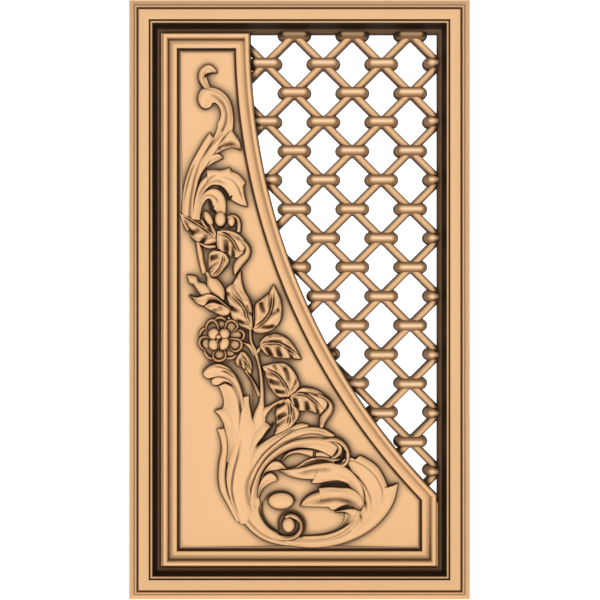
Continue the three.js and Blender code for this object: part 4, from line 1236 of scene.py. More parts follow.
                (256, 496), (259, 480), (268, 465), (281, 454.5), (295, 448.5), (310, 446.5)]),
        ],
    },
    "scrollCurl": {
        "rise": 10, "section": "round",
        "left": [(322, 438), (336, 437.5), (345, 443), (350, 453), (349, 462), (343, 468), (335.5, 467.5)],
        "right": [(322, 443), (334, 443), (341, 448), (344, 454), (343.5, 460), (340, 463.5), (335.7, 466)],
        "strokes": [
            ("cut", 1.8, 2.6, [(336, 442.5), (342, 447), (345, 454), (344.5, 461), (340, 466)]),
        ],
    },
    "scrollRoll": {
        "rise": 10, "section": "round",
        "left": [(337, 441.5), (342.5, 446), (342, 453), (337, 458), (331.5, 459.7)],
        "right": [(330, 441), (337, 447), (337, 451), (334, 455), (330.5, 457)],
    },
    "scrollTongue": {
        "rise": 6, "section": "round",
        "left": [(281, 459.5), (288, 452.5), (298, 449.5), (307, 449.5), (314, 450.5)],
        "right": [(282, 461), (289, 455.5), (297, 453.5), (305, 455), (312.5, 457.5)],
    },
    "scrollStub": {
        "rise": 5, "section": "round",
        "left": [(316, 452.3), (322, 451.8), (329, 455)],
        "right": [(316, 457), (322, 457.2), (331, 458.8)],
    },
    "smallLobeUpper": {
        "rise": 6.5, "section": "ridgeLeft",
        "left": [(261, 478), (266, 468), (272, 461.8), (279, 461.5), (287.5, 469.8)],
        "right": [(262, 480), (266, 473), (273, 470.7), (280, 470), (287.3, 470.3)],
    },
    "smallLobeLower": {
        "rise": 6.5, "section": "ridgeLeft",
        "left": [(257, 498), (259, 485), (264, 476), (271, 473), (276, 476.5), (277.5, 481)],
        "right": [(259, 498), (262, 490), (266, 486), (271, 483), (277.3, 481.4)],
    },
    "cradle": {
        "rise": 7.5, "base": 0.05, "tip": 0.25,
        "left": [(236, 505), (240, 516), (247, 527), (257, 536), (268, 542), (280, 545.3), (292, 547)],
        "right": [(257, 497), (261, 509), (265, 519), (271, 527), (278, 533), (286, 538), (296, 540)],
        "strokes": [
            ("cut", 2.2, 5, [(262, 500), (261, 512), (266, 522), (275, 531)]),
            ("cut", 2, 1.6, [(240, 505), (246, 518), (256, 529), (268, 537), (282, 542)]),
        ],
    },
    "voluteRing": {
        "rise": 8.5, "section": "round", "base": 0.2,
        "left": [
            (262, 531), (275, 539), (288, 541.5), (298, 537.5), (303, 530), (302, 521), (296.5, 515.2),
            (289, 513.6), (283.5, 517)],
        "right": [
            (266, 525), (276, 532.5), (286, 536), (294, 534.5), (299, 528), (298, 522), (294, 519),
            (290, 517.8), (287.5, 520)],
        "strokes": [
            ("puff", 1.4, 1.4, [(290, 516.5), (300, 522), (301, 528), (299, 534), (293, 538), (275, 540)]),
            ("cut", 1.2, 2, [(293, 519.5), (297.5, 523), (297.5, 529), (292, 534), (280, 534.5)]),
        ],
    },
    "lowerFan": {
        "rise": 8, "base": 0.3,
        "left": [
            (270, 542.6), (290, 546.3), (312, 548.3), (332, 546.3), (352, 540.3), (371, 529.8), (386, 515),
            (394, 501), (398.3, 483.6), (398.3, 483.6), (388, 487.6), (388, 487.6), (384.5, 478.5),
            (378, 467.5), (369.5, 460.5), (360, 455.5), (360, 455.5), (356.3, 459.2), (356.3, 459.2),
            (350.5, 457)],
        "right": [
            (280, 536.6), (300, 536.7), (328, 534.5), (345, 527), (358, 515), (365, 500), (362, 486),
            (352, 472), (346, 460)],
        "strokes": [
            ("puff", 2, 1.4, [
                (286, 541), (300, 543), (330, 541), (345, 536), (355, 529), (362, 520), (364, 508)]),
            ("cut", 1.1, 1.4, [(343, 470), (355, 475), (364, 485), (370, 497), (371, 510)]),
            ("cut", 1.0, 1.0, [(340, 463), (352, 461), (364, 466), (375, 476), (382, 490), (382, 503)]),
            ("cut", 1.6, 2.6, [(349.5, 487), (358, 492), (364, 500), (366, 510)]),
            ("cut", 1.0, 1.2, [(352, 507), (358, 512), (361, 519), (358, 526)]),
            ("puff", 2.6, 1.2, [(346, 478), (358, 483), (367, 493), (369, 506), (364, 518), (352, 528)]),
        ],
    },
    "lowerLobeTop": {
        "rise": 9, "section": "ridgeLeft", "base": 0.3,
        "left": [
            (366, 502), (362, 485), (350, 470), (336, 463), (318, 463.5), (303, 467), (290, 469),
            (278.5, 470.3)],
        "right": [
            (356, 502), (352, 490), (348, 485), (340, 481), (328, 481.4), (318, 483.4), (311.6, 483.3),
            (311.6, 483.3), (313.7, 479.4), (313.7, 479.4), (300, 478.8), (288, 475.5), (278.7, 470.8)],
        "strokes": [
            ("cut", 3.4, 2.2, [(298, 474), (310, 471), (322, 469.5), (333, 469)]),
            ("puff", 2.2, 1.2, [(290, 473.5), (302, 477), (318, 478.5), (334, 478.5), (345, 481)]),
        ],
    },
    "lowerFold": {
        "rise": 5.5, "section": "ridgeLeft",
        "left": [(348, 457.8), (333, 458.5), (322, 457.2), (313, 458), (304, 461.8), (296, 467), (288, 469)],
        "right": [(348, 466), (335, 466.5), (322, 465), (312, 466), (304, 468.5), (297, 470.5), (289, 470.5)],
        "strokes": [
            ("cut", 3, 3, [(298, 467.5), (306, 463.5), (318, 461.5), (332, 461.5)]),
        ],
    },
    "lowerLobeMiddle": {
        "rise": 8, "section": "ridgeLeft", "base": 0.3,
        "left": [
            (367, 510), (361, 496), (350, 488.4), (340, 487.6), (330, 486.9), (319, 487.9), (319, 487.9),
            (320.8, 491.3), (320.8, 491.3), (311, 494.5), (304, 499.5), (300.3, 506.2)],
        "right": [
            (357, 514), (354, 508), (348, 505), (340, 507.3), (335, 510), (331, 509.8), (331, 509.8),
            (328.5, 507.3), (328.5, 507.3), (313, 507), (301, 506.8)],
        "strokes": [
            ("cut", 3.2, 2.6, [(312, 505), (324, 501.5), (337, 500), (348, 502.5), (357, 508)]),
            ("puff", 2.4, 1.2, [(306, 501), (318, 495), (333, 492.5), (347, 494), (358, 501)]),
        ],
    },
    "lowerLobeInner": {
        "rise": 6, "section": "ridgeLeft", "base": 0.3,
        "left": [(364, 518), (359, 511), (350, 508.7), (342, 510), (334.5, 511.7)],
        "right": [(352, 530), (352, 521), (347, 516), (341, 514.5), (334.7, 512.3)],
        "strokes": [
            ("cut", 1.6, 3, [(337, 513), (344, 513.5), (351, 518)]),
        ],
    },
    "lowerHollow": {
        "rise": 6, "section": "ridgeLeft", "base": 0.3,
        "left": [(290, 543), (312, 543), (333, 540), (350, 532), (361, 521), (362, 510)],
        "right": [(294, 535.5), (312, 535.7), (328, 533.5), (339, 528), (344, 521), (345, 514)],
        "strokes": [
            ("cut", 4, 3, [(300, 537), (316, 537), (331, 534.5), (342, 528), (347, 520), (347, 514)]),
            ("puff", 2.2, 1.6, [(296, 541), (312, 541.2), (330, 539), (344, 533), (354, 524), (358, 514)]),
        ],
    },
    "petalEdge": {
        "rise": 12, "section": "round", "tip": 1, "width": 1.8, "draft": 0.8,
        "line": [(221.3, 339.5), (219, 344), (218.6, 349.5)],
    },
    "stemBetween": {
        "rise": 7, "section": "round", "width": 1.7, "draft": 0.8,
        "line": [(253.2, 307), (253.9, 313), (253.6, 320), (254, 326)],
    },
    "calyx": {
        "rise": 8.5, "section": "round", "width": 1.7, "draft": 0.9,
        "line": [(217, 229), (221, 229.6), (225, 228.6), (231, 230.5)],
    },
}

# The flower's petals stand up at their rims, the front ones higher than the back ones.
petalRims = {
    "backRimTop": (7, [(214.5, 320), (217, 318.2), (220, 317.4), (223, 318.2), (226, 320.6)]),
    "backRimLeft": (7, [(206.3, 327.5), (203, 329.3), (200.5, 332), (199.4, 336.5)]),
    "backRimRight": (7, [(237.5, 330.3), (241.5, 331), (244, 333.8), (243.6, 337.2), (240.8, 340.5)]),
    "backRimLow": (7, [(204.8, 349.5), (205, 353), (207, 356.2), (210, 358.2), (213.5, 358.5)]),
    "backRimCorner": (7, [(225.5, 358), (229, 358.4), (233, 357.6), (236.6, 354.8)]),
    "rimUpper": (9.5, [
        (206.2, 330), (206.4, 326), (208, 322.6), (211, 320.4), (214.3, 320.8), (217, 324), (218.6, 330)]),
    "rimUpperRight": (9.5, [
        (224.8, 330), (225.8, 325), (228, 321.3), (232, 320.5), (236.3, 323), (237.4, 327), (233, 332)]),
    "rimRight": (9.5, [
        (229, 338.5), (234, 338.8), (239, 339.8), (241.4, 343), (240.8, 347.5), (237.5, 350.6),
        (233.3, 350.8), (230, 347.5)]),
    "rimLow": (9.5, [
        (214.8, 351), (213, 355), (214.2, 358.6), (218, 360.6), (222, 360), (225, 357.6), (225.6, 354),
        (224.4, 350.3)]),
    "rimLeft": (9.5, [(209, 337.4), (204, 336.9), (200.8, 338.6), (199.3, 342.5), (201, 347), (205, 350)]),
}
petalRim = {"width": 2.7, "section": "round", "draft": 1.1, "tip": 1}
for name, (rise, line) in petalRims.items():
    carving[name] = {**petalRim, "rise": rise, "line": line}

domes = {
    "berryLeft": {"centre": (208.3, 218.3), "radii": (3.8, 7.8), "turn": -28, "rise": 9},
    "berryMiddle": {"centre": (220.3, 219), "radii": (5.6, 7.6), "rise": 10},
    "berryRight": {"centre": (231.3, 221), "radii": (3.8, 5.6), "rise": 9},
    "ovalBoss": {"centre": (281, 500.8), "radii": (12.8, 8.4), "rise": 9.5, "sides": 60},
    "voluteEye": {"centre": (288.5, 525), "radii": (6.4, 7.6), "rise": 10},
    "flowerBase": {"centre": (221, 339.5), "radii": (19.5, 18.5), "rise": 2.4, "shade": 0.1, "sides": 60},
    "cavityUpper": {"shade": 0.2, "centre": (221.8, 324.8), "radii": (4.2, 3.6), "rise": 3.4},
    "cavityUpperRight": {"shade": 0.2, "centre": (231, 327), "radii": (5.2, 5.4), "rise": 4},
    "cavityRight": {"shade": 0.2, "centre": (235, 335), "radii": (6, 4.4), "rise": 3.8},
    "cavityFront": {"shade": 0.2, "centre": (234.8, 345), "radii": (5.2, 5.2), "rise": 4},
    "cavityLow": {"shade": 0.2, "centre": (219.3, 355), "radii": (5, 4.4), "rise": 3.8},
    "cavityLowRight": {"shade": 0.2, "centre": (230, 353.5), "radii": (4.6, 3), "rise": 3.2},
    "cavityLeft": {"shade": 0.2, "centre": (206.2, 344), "radii": (4.2, 5.2), "rise": 3.6},
    "innerUpperLeft": {"centre": (213.8, 334), "radii": (6, 6), "rise": 9.5},
    "innerUpperRight": {"centre": (224.4, 333.8), "radii": (5.6, 5.6), "rise": 10.5},
    "innerLowerLeft": {"centre": (213.8, 344.4), "radii": (5.6, 6), "rise": 9.5},
    "innerLowerRight": {"centre": (224, 343.6), "radii": (5.4, 7), "turn": 24, "rise": 10.5},
    "flowerHeart": {"centre": (218.6, 336.8), "radii": (3.2, 2.9), "rise": 12, "sides": 24},
    "flowerNub": {"centre": (217.6, 340.4), "radii": (1.6, 1.7), "rise": 11.8, "sides": 20},
    "flowerBead": {"centre": (228.8, 318), "radii": (1.7, 1.5), "rise": 6, "sides": 20},
}

# Which forms make up each carved piece of the render.
groups = {
    "upperScroll": [
        "hookCurl", "voluteStem", "upperSweepLeft", "upperSweep", "upperLobe", "upperBarb", "canopy",
        "canopyInner", "berryCurl", "berryLeft", "berryMiddle", "berryRight", "calyx",
    ],
    "leafSpray": [
        "leafA", "leafB", "leafBFold", "leafC", "twigLong", "twigBent", "budLeft", "budRight", "leafDFold",
        "leafD", "leafE", "leafF", "leafG",
    ],
    "leavesBelow": [
        "leafH", "leafI", "leafK", "leafL", "leafLFold", "mainStem", "flowerTwig", "leafHTwig", "leafGTwig",
        "leafKTwig", "stemBetween",
    ],
    "flowerHead": [
        *petalRims, "petalEdge",
        *[name for name in domes if name.startswith(("flower", "cavity", "inner"))],
    ],
    "acanthus": [
        "lowerCurlTop", "lowerCurl", "lowerLeafLeft", "lowerBarbLeft", "lowerStrip", "lowerBody",
        "lowerLobeRight",
    ],
    "lowerScroll": [
        "scrollBack", "scrollMiddle", "scrollFront", "scrollCurl", "scrollRoll", "scrollTongue", "scrollStub",
    ],
    "lowerVolute": [
        "smallLobeUpper", "smallLobeLower", "cradle", "voluteRing", "voluteEye", "ovalBoss", "lowerFan",
        "lowerLobeTop", "lowerFold", "lowerLobeMiddle", "lowerLobeInner", "lowerHollow",
    ],
}

# Slots cut right down to the ground: half width, half width of the painted shadow over it (0 for none) and
# line.
slots = [
    (2.4, 3.4, [(219.8, 187.2), (223, 189.5), (225.5, 193), (228.5, 198.5)]),
    (0.9, 0, [(231.5, 196), (229.5, 199.5)]),
    (1.7, 3, [(208.8, 200.8), (210, 205), (211, 209), (214.5, 212)]),
    (0.8, 0, [(213.5, 206.5), (211.5, 208)]),
    (2, 3, [(344.5, 451.5), (343.5, 457), (340, 461.5), (336, 462.5)]),
    (1.5, 0, [(314.6, 450.5), (314.2, 457)]),
]
# Pools of painted shadow on the low ground: half width in millimetres, strength and line.
paintedShadowPools = [
    (3.2, 1, [
        (279, 531), (279.2, 520), (284, 513.6), (291, 511.8), (298, 514), (303.6, 520), (304.6, 529),
        (301, 537)]),
    (2.8, 1, [(262.3, 503), (261.8, 512), (265, 521), (272, 529), (281, 536)]),
    (2.4, 0.9, [(264.5, 500.5), (269, 495), (277, 492.5), (286, 493.5), (293, 497), (295, 501)]),
    (3.2, 1.4, [(256, 446), (262, 440), (268, 432), (273, 424)]),
    (3, 0.8, [(209, 361), (217, 363.5), (227, 362.5)]),
    (3.4, 1, [(246.5, 329), (245.5, 336), (246, 342)]),
    (4, 0.7, [(252, 385), (253, 400), (252.5, 417)]),
    (2.6, 0.9, [(213.5, 212), (214.5, 221)]),
    (2.4, 1, [(235, 219), (236, 224), (235.5, 229)]),
    (3.2, 1.6, [(322, 485.6), (332, 484.4), (341, 484.4), (347, 485.6)]),
    (2.6, 1.6, [(338, 509.8), (343, 508), (347.5, 507.3)]),
    (3, 0.9, [(316, 459.4), (325, 459.8), (333, 461.5)]),
]
paintedShadowPools += [(half, carvingSizes["paintedSlotShadow"], line) for _, half, line in slots if half]
forms = {name: loft(shape) for name, shape in carving.items()}
domeGrids = {name: dome(shape) for name, shape in domes.items()}
print("carved forms shaped:", len(forms) + len(domes))

# A height map of the whole front, in millimetres, which says where shade and highlights are painted: a
# point's height is compared with the map blurred by the near, wide and far distances.
mapSizes = {"cell": 0.7, "margin": 4, "near": 1.1, "wide": 3.2, "far": 8, "stampsPerStep": 3}
cell = mapSizes["cell"]
mapHalfX = frameSizes["width"] / 2 + mapSizes["margin"]
mapHalfZ = frameSizes["height"] / 2 + mapSizes["margin"]
mapX = np.arange(-mapHalfX, mapHalfX, cell)
mapZ = np.arange(-mapHalfZ, mapHalfZ, cell)
gridX, gridZ = np.meshgrid(mapX, mapZ)
insetOfFrame = frameInset(gridX, gridZ)
insetOfPanel = panelInset(gridX, gridZ)
heights = np.where(insetOfFrame < frameSizes["stile"], np.interp(insetOfFrame, *frameFace.T, left=0), 0)
heights = np.where(insetOfPanel > 0, np.interp(insetOfPanel, *borderFace.T), heights)


# Lays a form's points on the map, closer together than its rows and columns, so that no cell is missed.
def stamp(grid, closed=False):
    if closed:
        grid = np.concatenate([grid, grid[:, :1]], 1)
    for axis in (0, 1):
        count = grid.shape[axis]
        fine = np.linspace(0, count - 1, (count - 1) * mapSizes["stampsPerStep"] + 1)
        low = np.minimum(fine.astype(int), count - 2)
        share = fine - low
        shape = [1, 1, 1]
        shape[axis] = -1
        share = share.reshape(shape)
        grid = np.take(grid, low, axis) * (1 - share) + np.take(grid, low + 1, axis) * share
    i = np.clip(np.round((grid[..., 1] - mapZ[0]) / cell).astype(int), 0, len(mapZ) - 1)
    j = np.clip(np.round((grid[..., 0] - mapX[0]) / cell).astype(int), 0, len(mapX) - 1)
    np.maximum.at(heights, (i.ravel(), j.ravel()), grid[..., 2].ravel())


for grid, _ in forms.values():
    stamp(grid)
for grid, _, _ in domeGrids.values():
    stamp(grid, closed=True)


def blurred(values, sigma):
    reach = math.ceil(3 * sigma / cell)
    offsets = np.arange(-reach, reach + 1)
    kernel = np.exp(-((offsets * cell / sigma) ** 2) / 2)
    kernel /= kernel.sum()
    for axis in (0, 1):
        pad = [(0, 0), (0, 0)]
        pad[axis] = (reach, reach)
        padded = np.pad(values, pad, mode="edge")
        spots = np.arange(values.shape[axis])
        values = sum(k * np.take(padded, spots + n, axis) for n, k in enumerate(kernel))
    return values


nearHeights = blurred(heights, mapSizes["near"])
wideHeights = blurred(heights, mapSizes["wide"])
farHeights = blurred(heights, mapSizes["far"])


# The painted shadow pools' strength over the map.
def poolMap():
    pooled = np.zeros(heights.shape)
    for half, strength, line in paintedShadowPools:
        route = smoothLine(place(line), 5 * len(line))[0]
        low, high = route.min(0) - 3 * half, route.max(0) + 3 * half
        i = slice(*np.searchsorted(mapZ, [low[1], high[1]]))
        j = slice(*np.searchsorted(mapX, [low[0], high[0]]))
        distance, _ = lineDistance(gridX[i, j], gridZ[i, j], route)
        pooled[i, j] = np.maximum(pooled[i, j], strength * np.exp(-((distance / half) ** 2)))
    return pooled


paintedPoolShadow = poolMap()


# A map's values at any points, taken between its cells.
def sample(values, x, z):
    u = np.clip((x - mapX[0]) / cell, 0, len(mapX) - 1.001)
    v = np.clip((z - mapZ[0]) / cell, 0, len(mapZ) - 1.001)
    i, j = v.astype(int), u.astype(int)
    a, b = v - i, u - j
    low = values[i, j] * (1 - b) + values[i, j + 1] * b
    high = values[i + 1, j] * (1 - b) + values[i + 1, j + 1] * b
    return low * (1 - a) + high * a


# How much shade is painted in hollows and how much highlight on crests. A pair is the height difference in
# millimetres that gives the full effect, and the strength of that effect.
paintedShadeSizes = {
    "nearHollowShade": (1.8, 0.85),
    "wideHollowShade": (4.5, 0.3),
    "nearCrestHighlight": (0.8, 0.6),
    "wideCrestHighlight": (2.4, 0.4),
    "leastHollowShade": 0.03,
    "poolTop": 6,
    "poolDepth": (3, 1),
    "wideBlurShade": (5, 0.4),
    "farFrom": 0.6,
    "farBlurShade": (3, 1),
}


def effect(difference, pair):
    full, strength = pair
    return np.clip(difference / full, 0, 1) * strength


# What the wood's material reads at each point. One value is above 0 in a narrow hollow, where shade is
# painted, and below 0 on a crest, where a highlight is painted, with pools of painted shadow on the low
# ground. Another is painted shade over wide hollows, and the last says how much painted shade the slopes
# take.
def shadesAt(points, laid=0, front=True, holds=1):
    size = paintedShadeSizes
    x, z, h = np.asarray(points, float).T
    near = sample(nearHeights, x, z) - h
    wide = sample(wideHeights, x, z) - h
    far = sample(farHeights, x, z) - h
    hollow = effect(near, size["nearHollowShade"]) + effect(wide, size["wideHollowShade"])
    crest = effect(-near, size["nearCrestHighlight"]) + effect(-wide, size["wideCrestHighlight"])
    low = effect(panelSizes["ground"] + size["poolTop"] - h, size["poolDepth"])
    patina = np.clip(np.where(hollow > size["leastHollowShade"], hollow, -crest) + laid, -1, 1)
    patina = np.maximum(patina, sample(paintedPoolShadow, x, z) * low)
    dusk = effect(wide, size["wideBlurShade"]) + effect(far - size["farFrom"], size["farBlurShade"])
    return {
        "patina": patina * front,
        "dusk": np.clip(dusk, 0, 1) * front,
        "glaze": np.ones(len(x)) * front * holds,
    }


def buildFrame():
    size = frameSizes
    rebateEdge = size["stile"] - size["rebate"]
    back = [(size["stile"], size["lip"]), (rebateEdge, size["lip"]), (rebateEdge, 0), (0, 0)]
    profile = np.vstack([frameFace, back])
    rows = []
    for inset, h in profile:
        outline = frameOutline(inset)
        rows.append(np.c_[outline, np.full(len(outline), h)])
    count = len(profile)
    points = np.vstack(rows)
    faces = quads(count, 4, True)
    closing = quads(2, 4, True)
    closing = np.where(closing >= 4, closing - 4, closing + (count - 1) * 4)
    onFace = np.repeat(np.arange(count) < len(frameFace), 4)
    front = onFace & (np.repeat(profile[:, 0], 4) > size["plainEdge"])
    # Shade is painted along the moulding's lines, and on its slopes by each line's share.
    laid = np.repeat(paintedShadingLines(profile[:, 0], size["glaze"]), 4)
    slopes = np.repeat(slopesAt(profile[:, 0], size["slopes"]), 4)
    shades = shadesAt(points, laid, front, slopes)
    return meshPiece("mouldedFrame", points, np.vstack([faces, closing]), frameWood, shades)


def buildPanel():
    size = panelSizes
    reach = -size["gap"] - size["flangeReach"]
    rings = [
        (reach, 0, frameSizes["rebate"]),
        (reach, size["flange"], frameSizes["rebate"]),
        (0, size["flange"], 0),
        *[(inset, h, inset) for inset, h in borderFace],
    ]
    points = []
    for inset, h, bowInset in rings:
        outline = panelOutline(inset, bowInset)
        points.append(np.c_[outline, np.full(len(outline), h)])
    count = len(points[0])
    points = np.vstack(points)
    faces = quads(len(rings), count, True).tolist()
    last = (len(rings) - 1) * count
    faces.append(list(range(count))[::-1])
    # Shade and highlights are painted along the border's lines, and on its slopes by each line's share.
    laid = np.repeat([paintedShadingLines(inset, size["glaze"]) for inset, _, _ in rings], count)
    slopes = np.repeat([slopesAt(inset, size["slopes"]) for inset, _, _ in rings], count)
    ground, groundFaces = groundGrid(points[last:, :2], last)
    points = np.vstack([points, ground])
    laid = np.concatenate([laid, np.zeros(len(ground))])
    slopes = np.concatenate([slopes, np.ones(len(ground))])
    front = points[:, 2] > size["flange"] + size["plainRise"]
    shades = shadesAt(points, laid, front, slopes)
    return meshPiece("panelBoard", points, faces + groundFaces, panelWood, shades)


# The ground inside the border: square cells, and a band of triangles between them and the border's last line.
def groundGrid(edge, firstEdge):
    step = panelSizes["groundCell"]
    x = np.arange(-panelX, panelX, step)
    z = np.arange(-panelZ, panelZ, step)
    spotX, spotZ = np.meshgrid(x, z)
    clear = panelInset(spotX, spotZ) > borderFace[-1, 0] + step * panelSizes["cellClearance"]
    whole = clear[:-1, :-1] & clear[1:, :-1] & clear[1:, 1:] & clear[:-1, 1:]
    used = np.zeros(clear.shape, bool)
    for di in (0, 1):
        for dj in (0, 1):
            used[di:di + whole.shape[0], dj:dj + whole.shape[1]] |= whole
    number = np.cumsum(used).reshape(used.shape) - 1
    i, j = np.nonzero(whole)
    firstCell = firstEdge + len(edge)
    cells = firstCell + np.stack([number[i, j], number[i, j + 1], number[i + 1, j + 1], number[i + 1, j]], -1)
    spots = np.stack([spotX[used], spotZ[used], np.full(used.sum(), panelSizes["ground"])], -1)
    steps = borderOf(cells)
    rim = sorted({v for pair in steps for v in pair})
    local = {v: len(edge) + k for k, v in enumerate(rim)}
    corners = [Vector(p) for p in edge] + [Vector(spots[v - firstCell, :2]) for v in rim]
    lines = [(k, (k + 1) % len(edge)) for k in range(len(edge))] + [(local[a], local[b]) for a, b in steps]
    made = geometry.delaunay_2d_cdt(corners, lines, [], 1, 1e-5)
    names = {}
    for k, origin in enumerate(made[3]):
        names[k] = firstEdge + origin[0] if origin[0] < len(edge) else rim[origin[0] - len(edge)]
    band = []
    for face in made[2]:
        middle = np.mean([made[0][v] for v in face], axis=0)
        column, row = int((middle[0] - x[0]) // step), int((middle[1] - z[0]) // step)
        if not whole[row, column]:
            band.append([names[v] for v in face])
    return spots, cells.tolist() + band


# The sides that belong to one cell only.
def borderOf(cells):
    sides = {}
    for square in cells.tolist():
        for a, b in zip(square, square[1:] + square[:1]):
            if (b, a) in sides:
                del sides[(b, a)]
            else:
                sides[(a, b)] = True
    return list(sides)


# A form's points and faces, with a fan that closes each of its ends.
def loftFaces(grid):
    endHeight = carvingSizes["endHeight"]
    rows, columns = grid.shape[:2]
    faces = quads(rows, columns, True)
    points = grid.reshape(-1, 3)
    caps = []
    for row, turned in ((0, False), (rows - 1, True)):
        middle = grid[row].mean(0)
        middle[2] = grid[row, 0, 2] * (1 - endHeight) + grid[row, :, 2].mean() * endHeight
        points = np.vstack([points, middle])
        centre = len(points) - 1
        ring = row * columns + np.arange(columns)
        fan = np.stack([ring, np.roll(ring, -1), np.full(columns, centre)], -1)
        caps += fan.tolist() if turned else fan[:, ::-1].tolist()
    return points, faces.tolist() + caps


# One carved piece of the forms and domes that it names.
def buildCarving(name, members):
    allPoints, allFaces, allPaintedShading, allHolds = [], [], [], []
    offset = 0
    for member in members:
        if member in forms:
            grid, glaze = forms[member]
            points, faces = loftFaces(grid)
            glaze = np.concatenate([glaze.ravel(), [0, 0]])
        else:
            grid, glaze, crown = domeGrids[member]
            rows, columns = grid.shape[:2]
            points = np.vstack([grid.reshape(-1, 3), crown])
            top = (rows - 1) * columns
            faces = quads(rows, columns, True).tolist()
            faces += [[top + i, top + (i + 1) % columns, len(points) - 1] for i in range(columns)]
            faces.append(list(range(columns))[::-1])
            glaze = np.concatenate([glaze.ravel(), [glaze[-1, 0]]])
        if windingTurned(points, faces):
            faces = [list(f)[::-1] for f in faces]
        allPoints.append(points)
        allPaintedShading.append(glaze)
        # Petal rims take less painted slope shade than the other forms.
        allHolds.append(np.full(len(points), carvingSizes["rimSlopeShade"] if member in petalRims else 1))
        allFaces += [[v + offset for v in f] for f in faces]
        offset += len(points)
    points = np.vstack(allPoints)
    shades = shadesAt(points, np.concatenate(allPaintedShading), holds=np.concatenate(allHolds))
    piece = meshPiece(name, points, allFaces, panelWood, shades, carvingSizes["sharpAngle"])
    print(name, "triangles:", sum(len(f) - 2 for f in allFaces))
    return piece


# The drawing's x and z are right-handed with -h, so a closed form faces outwards where its volume is below 0.
def windingTurned(points, faces):
    middle = points.mean(0)
    volume = 0.0
    for size in (3, 4):
        these = np.array([f for f in faces if len(f) == size])
        if not len(these):
            continue
        p = points[these] - middle
        volume += np.einsum("ij,ij->i", p[:, 0], np.cross(p[:, 1], p[:, 2])).sum()
        if size == 4:
            volume += np.einsum("ij,ij->i", p[:, 0], np.cross(p[:, 2], p[:, 3])).sum()
    return volume < 0


pieces = [(buildFrame(), "frame", "frame_wood"), (buildPanel(), "carved_panel", "panel_wood")]
for name, members in groups.items():
    pieces.append((buildCarving(name, members), "carved_panel", "panel_wood"))
print("frame, panel and carving built")

# The lattice, in millimetres: bars at 45 degrees through knots, cut to the opening by Geometry Nodes. A bar's
# section is given as (half width, height), and a knot as (half length, half width, height).
latticeSizes = {
    "pitch": 41.25,
    "shiftX": -7.3,
    "shiftZ": 5,
    "rimThickness": 7.3,
    "rimShow": 0.9,
    "edgeGap": 0.3,
    "windowHeights": (-5, 40),
    "bar": [(6.1, 0), (6, 3.5), (5.5, 7.2), (4.6, 10), (3.3, 12), (1.9, 13.1), (0.6, 13.5)],
    "knot": [
        (24.4, 9.75, 0), (24.4, 9.75, 3.6), (24, 9.4, 6), (22.8, 8.6, 9.5), (21.2, 7.6, 12.6),
        (19.4, 6.3, 15.6), (17.6, 4.4, 17.5), (15.6, 2.6, 19.3), (13, 0.9, 20.2)],
    "knotSides": 44,
    "knotRound": 1.15,
    "barReach": 1.1,
    "gap": 0.5,
    "sharpAngle": 35,
    # Painted shade on the low parts, a painted highlight on the knots' crowns and painted slope shade on
    # their sides.
    "plainBelow": 0.5,
    "lowFrom": 11,
    "paintedLowShade": (9, 0.7),
    "crownFrom": 18.4,
    "paintedCrownHighlight": (1.4, 0.8),
    "sideFrom": 13.6,
    "paintedSideShade": (1.5, 0.6),
}


# The outline of the space beside the panel, moved outwards by grow.
def latticeOutline(grow):
    x, z = openingX + grow, openingZ + grow
    arc = bow(grow, x, z, panelSizes["bowSteps"])
    return np.vstack([[[x, z]], arc[::-1]])


# A shape for the node tree to read. It is deleted once the lattice is made.
def hiddenMesh(name, points, faces):
    if windingTurned(np.asarray(points, float), faces):
        faces = [list(f)[::-1] for f in faces]
    mesh = bpy.data.meshes.new(name)
    drawn = np.asarray(points, float)
    placed = np.stack([drawn[:, 0], -drawn[:, 2], drawn[:, 1]], -1) * mm
    mesh.from_pydata(placed.tolist(), [], [list(map(int, f)) for f in faces])
    tool = bpy.data.objects.new(name, mesh)
    bpy.context.scene.collection.objects.link(tool)
    return tool


# A closed shape from its outline at each level.
def stacked(levels):
    count = len(levels[0])
    faces = quads(len(levels), count, True).tolist()
    faces.append(list(range(count))[::-1])
    faces.append(list(range((len(levels) - 1) * count, len(levels) * count)))
    return np.vstack(levels), faces


def knotLevels():
    angle = np.linspace(0, 2 * math.pi, latticeSizes["knotSides"], endpoint=False)
    for halfLength, halfWidth, h in latticeSizes["knot"]:
        straight = max(halfLength - halfWidth * latticeSizes["knotRound"], 0)
        x = np.sign(np.cos(angle)) * straight + np.cos(angle) * (halfLength - straight)
        z = np.sin(angle) * halfWidth
        yield np.c_[x, z, np.full(len(angle), h)]


def barLevels():
    half = latticeSizes["bar"]
    section = [(a, h) for a, h in half] + [(-a, h) for a, h in half[::-1]]
    reach = frameSizes["height"] * latticeSizes["barReach"]
    return [np.array([(along, across, h) for across, h in section]) for along in (-reach, reach)]


def windowLevels():
    outline = latticeOutline(-latticeSizes["edgeGap"])
    return [np.c_[outline, np.full(len(outline), h)] for h in latticeSizes["windowHeights"]]


def rimShape():
    size = latticeSizes
    outside = latticeOutline(frameSizes["rebate"] - size["gap"])
    inside = latticeOutline(-size["rimShow"])
    rings = [(inside, 0), (outside, 0), (outside, size["rimThickness"]), (inside, size["rimThickness"])]
    points = np.vstack([np.c_[ring, np.full(len(ring), h)] for ring, h in rings])
    faces = quads(len(rings) + 1, len(inside), True) % len(points)
    return points, faces.tolist()


tools = {
    "Knot": hiddenMesh("knotShape", *stacked(list(knotLevels()))),
    "Bar": hiddenMesh("barShape", *stacked(barLevels())),
    "Window": hiddenMesh("windowShape", *stacked(windowLevels())),
    "Rim": hiddenMesh("rimShape", *rimShape()),
}


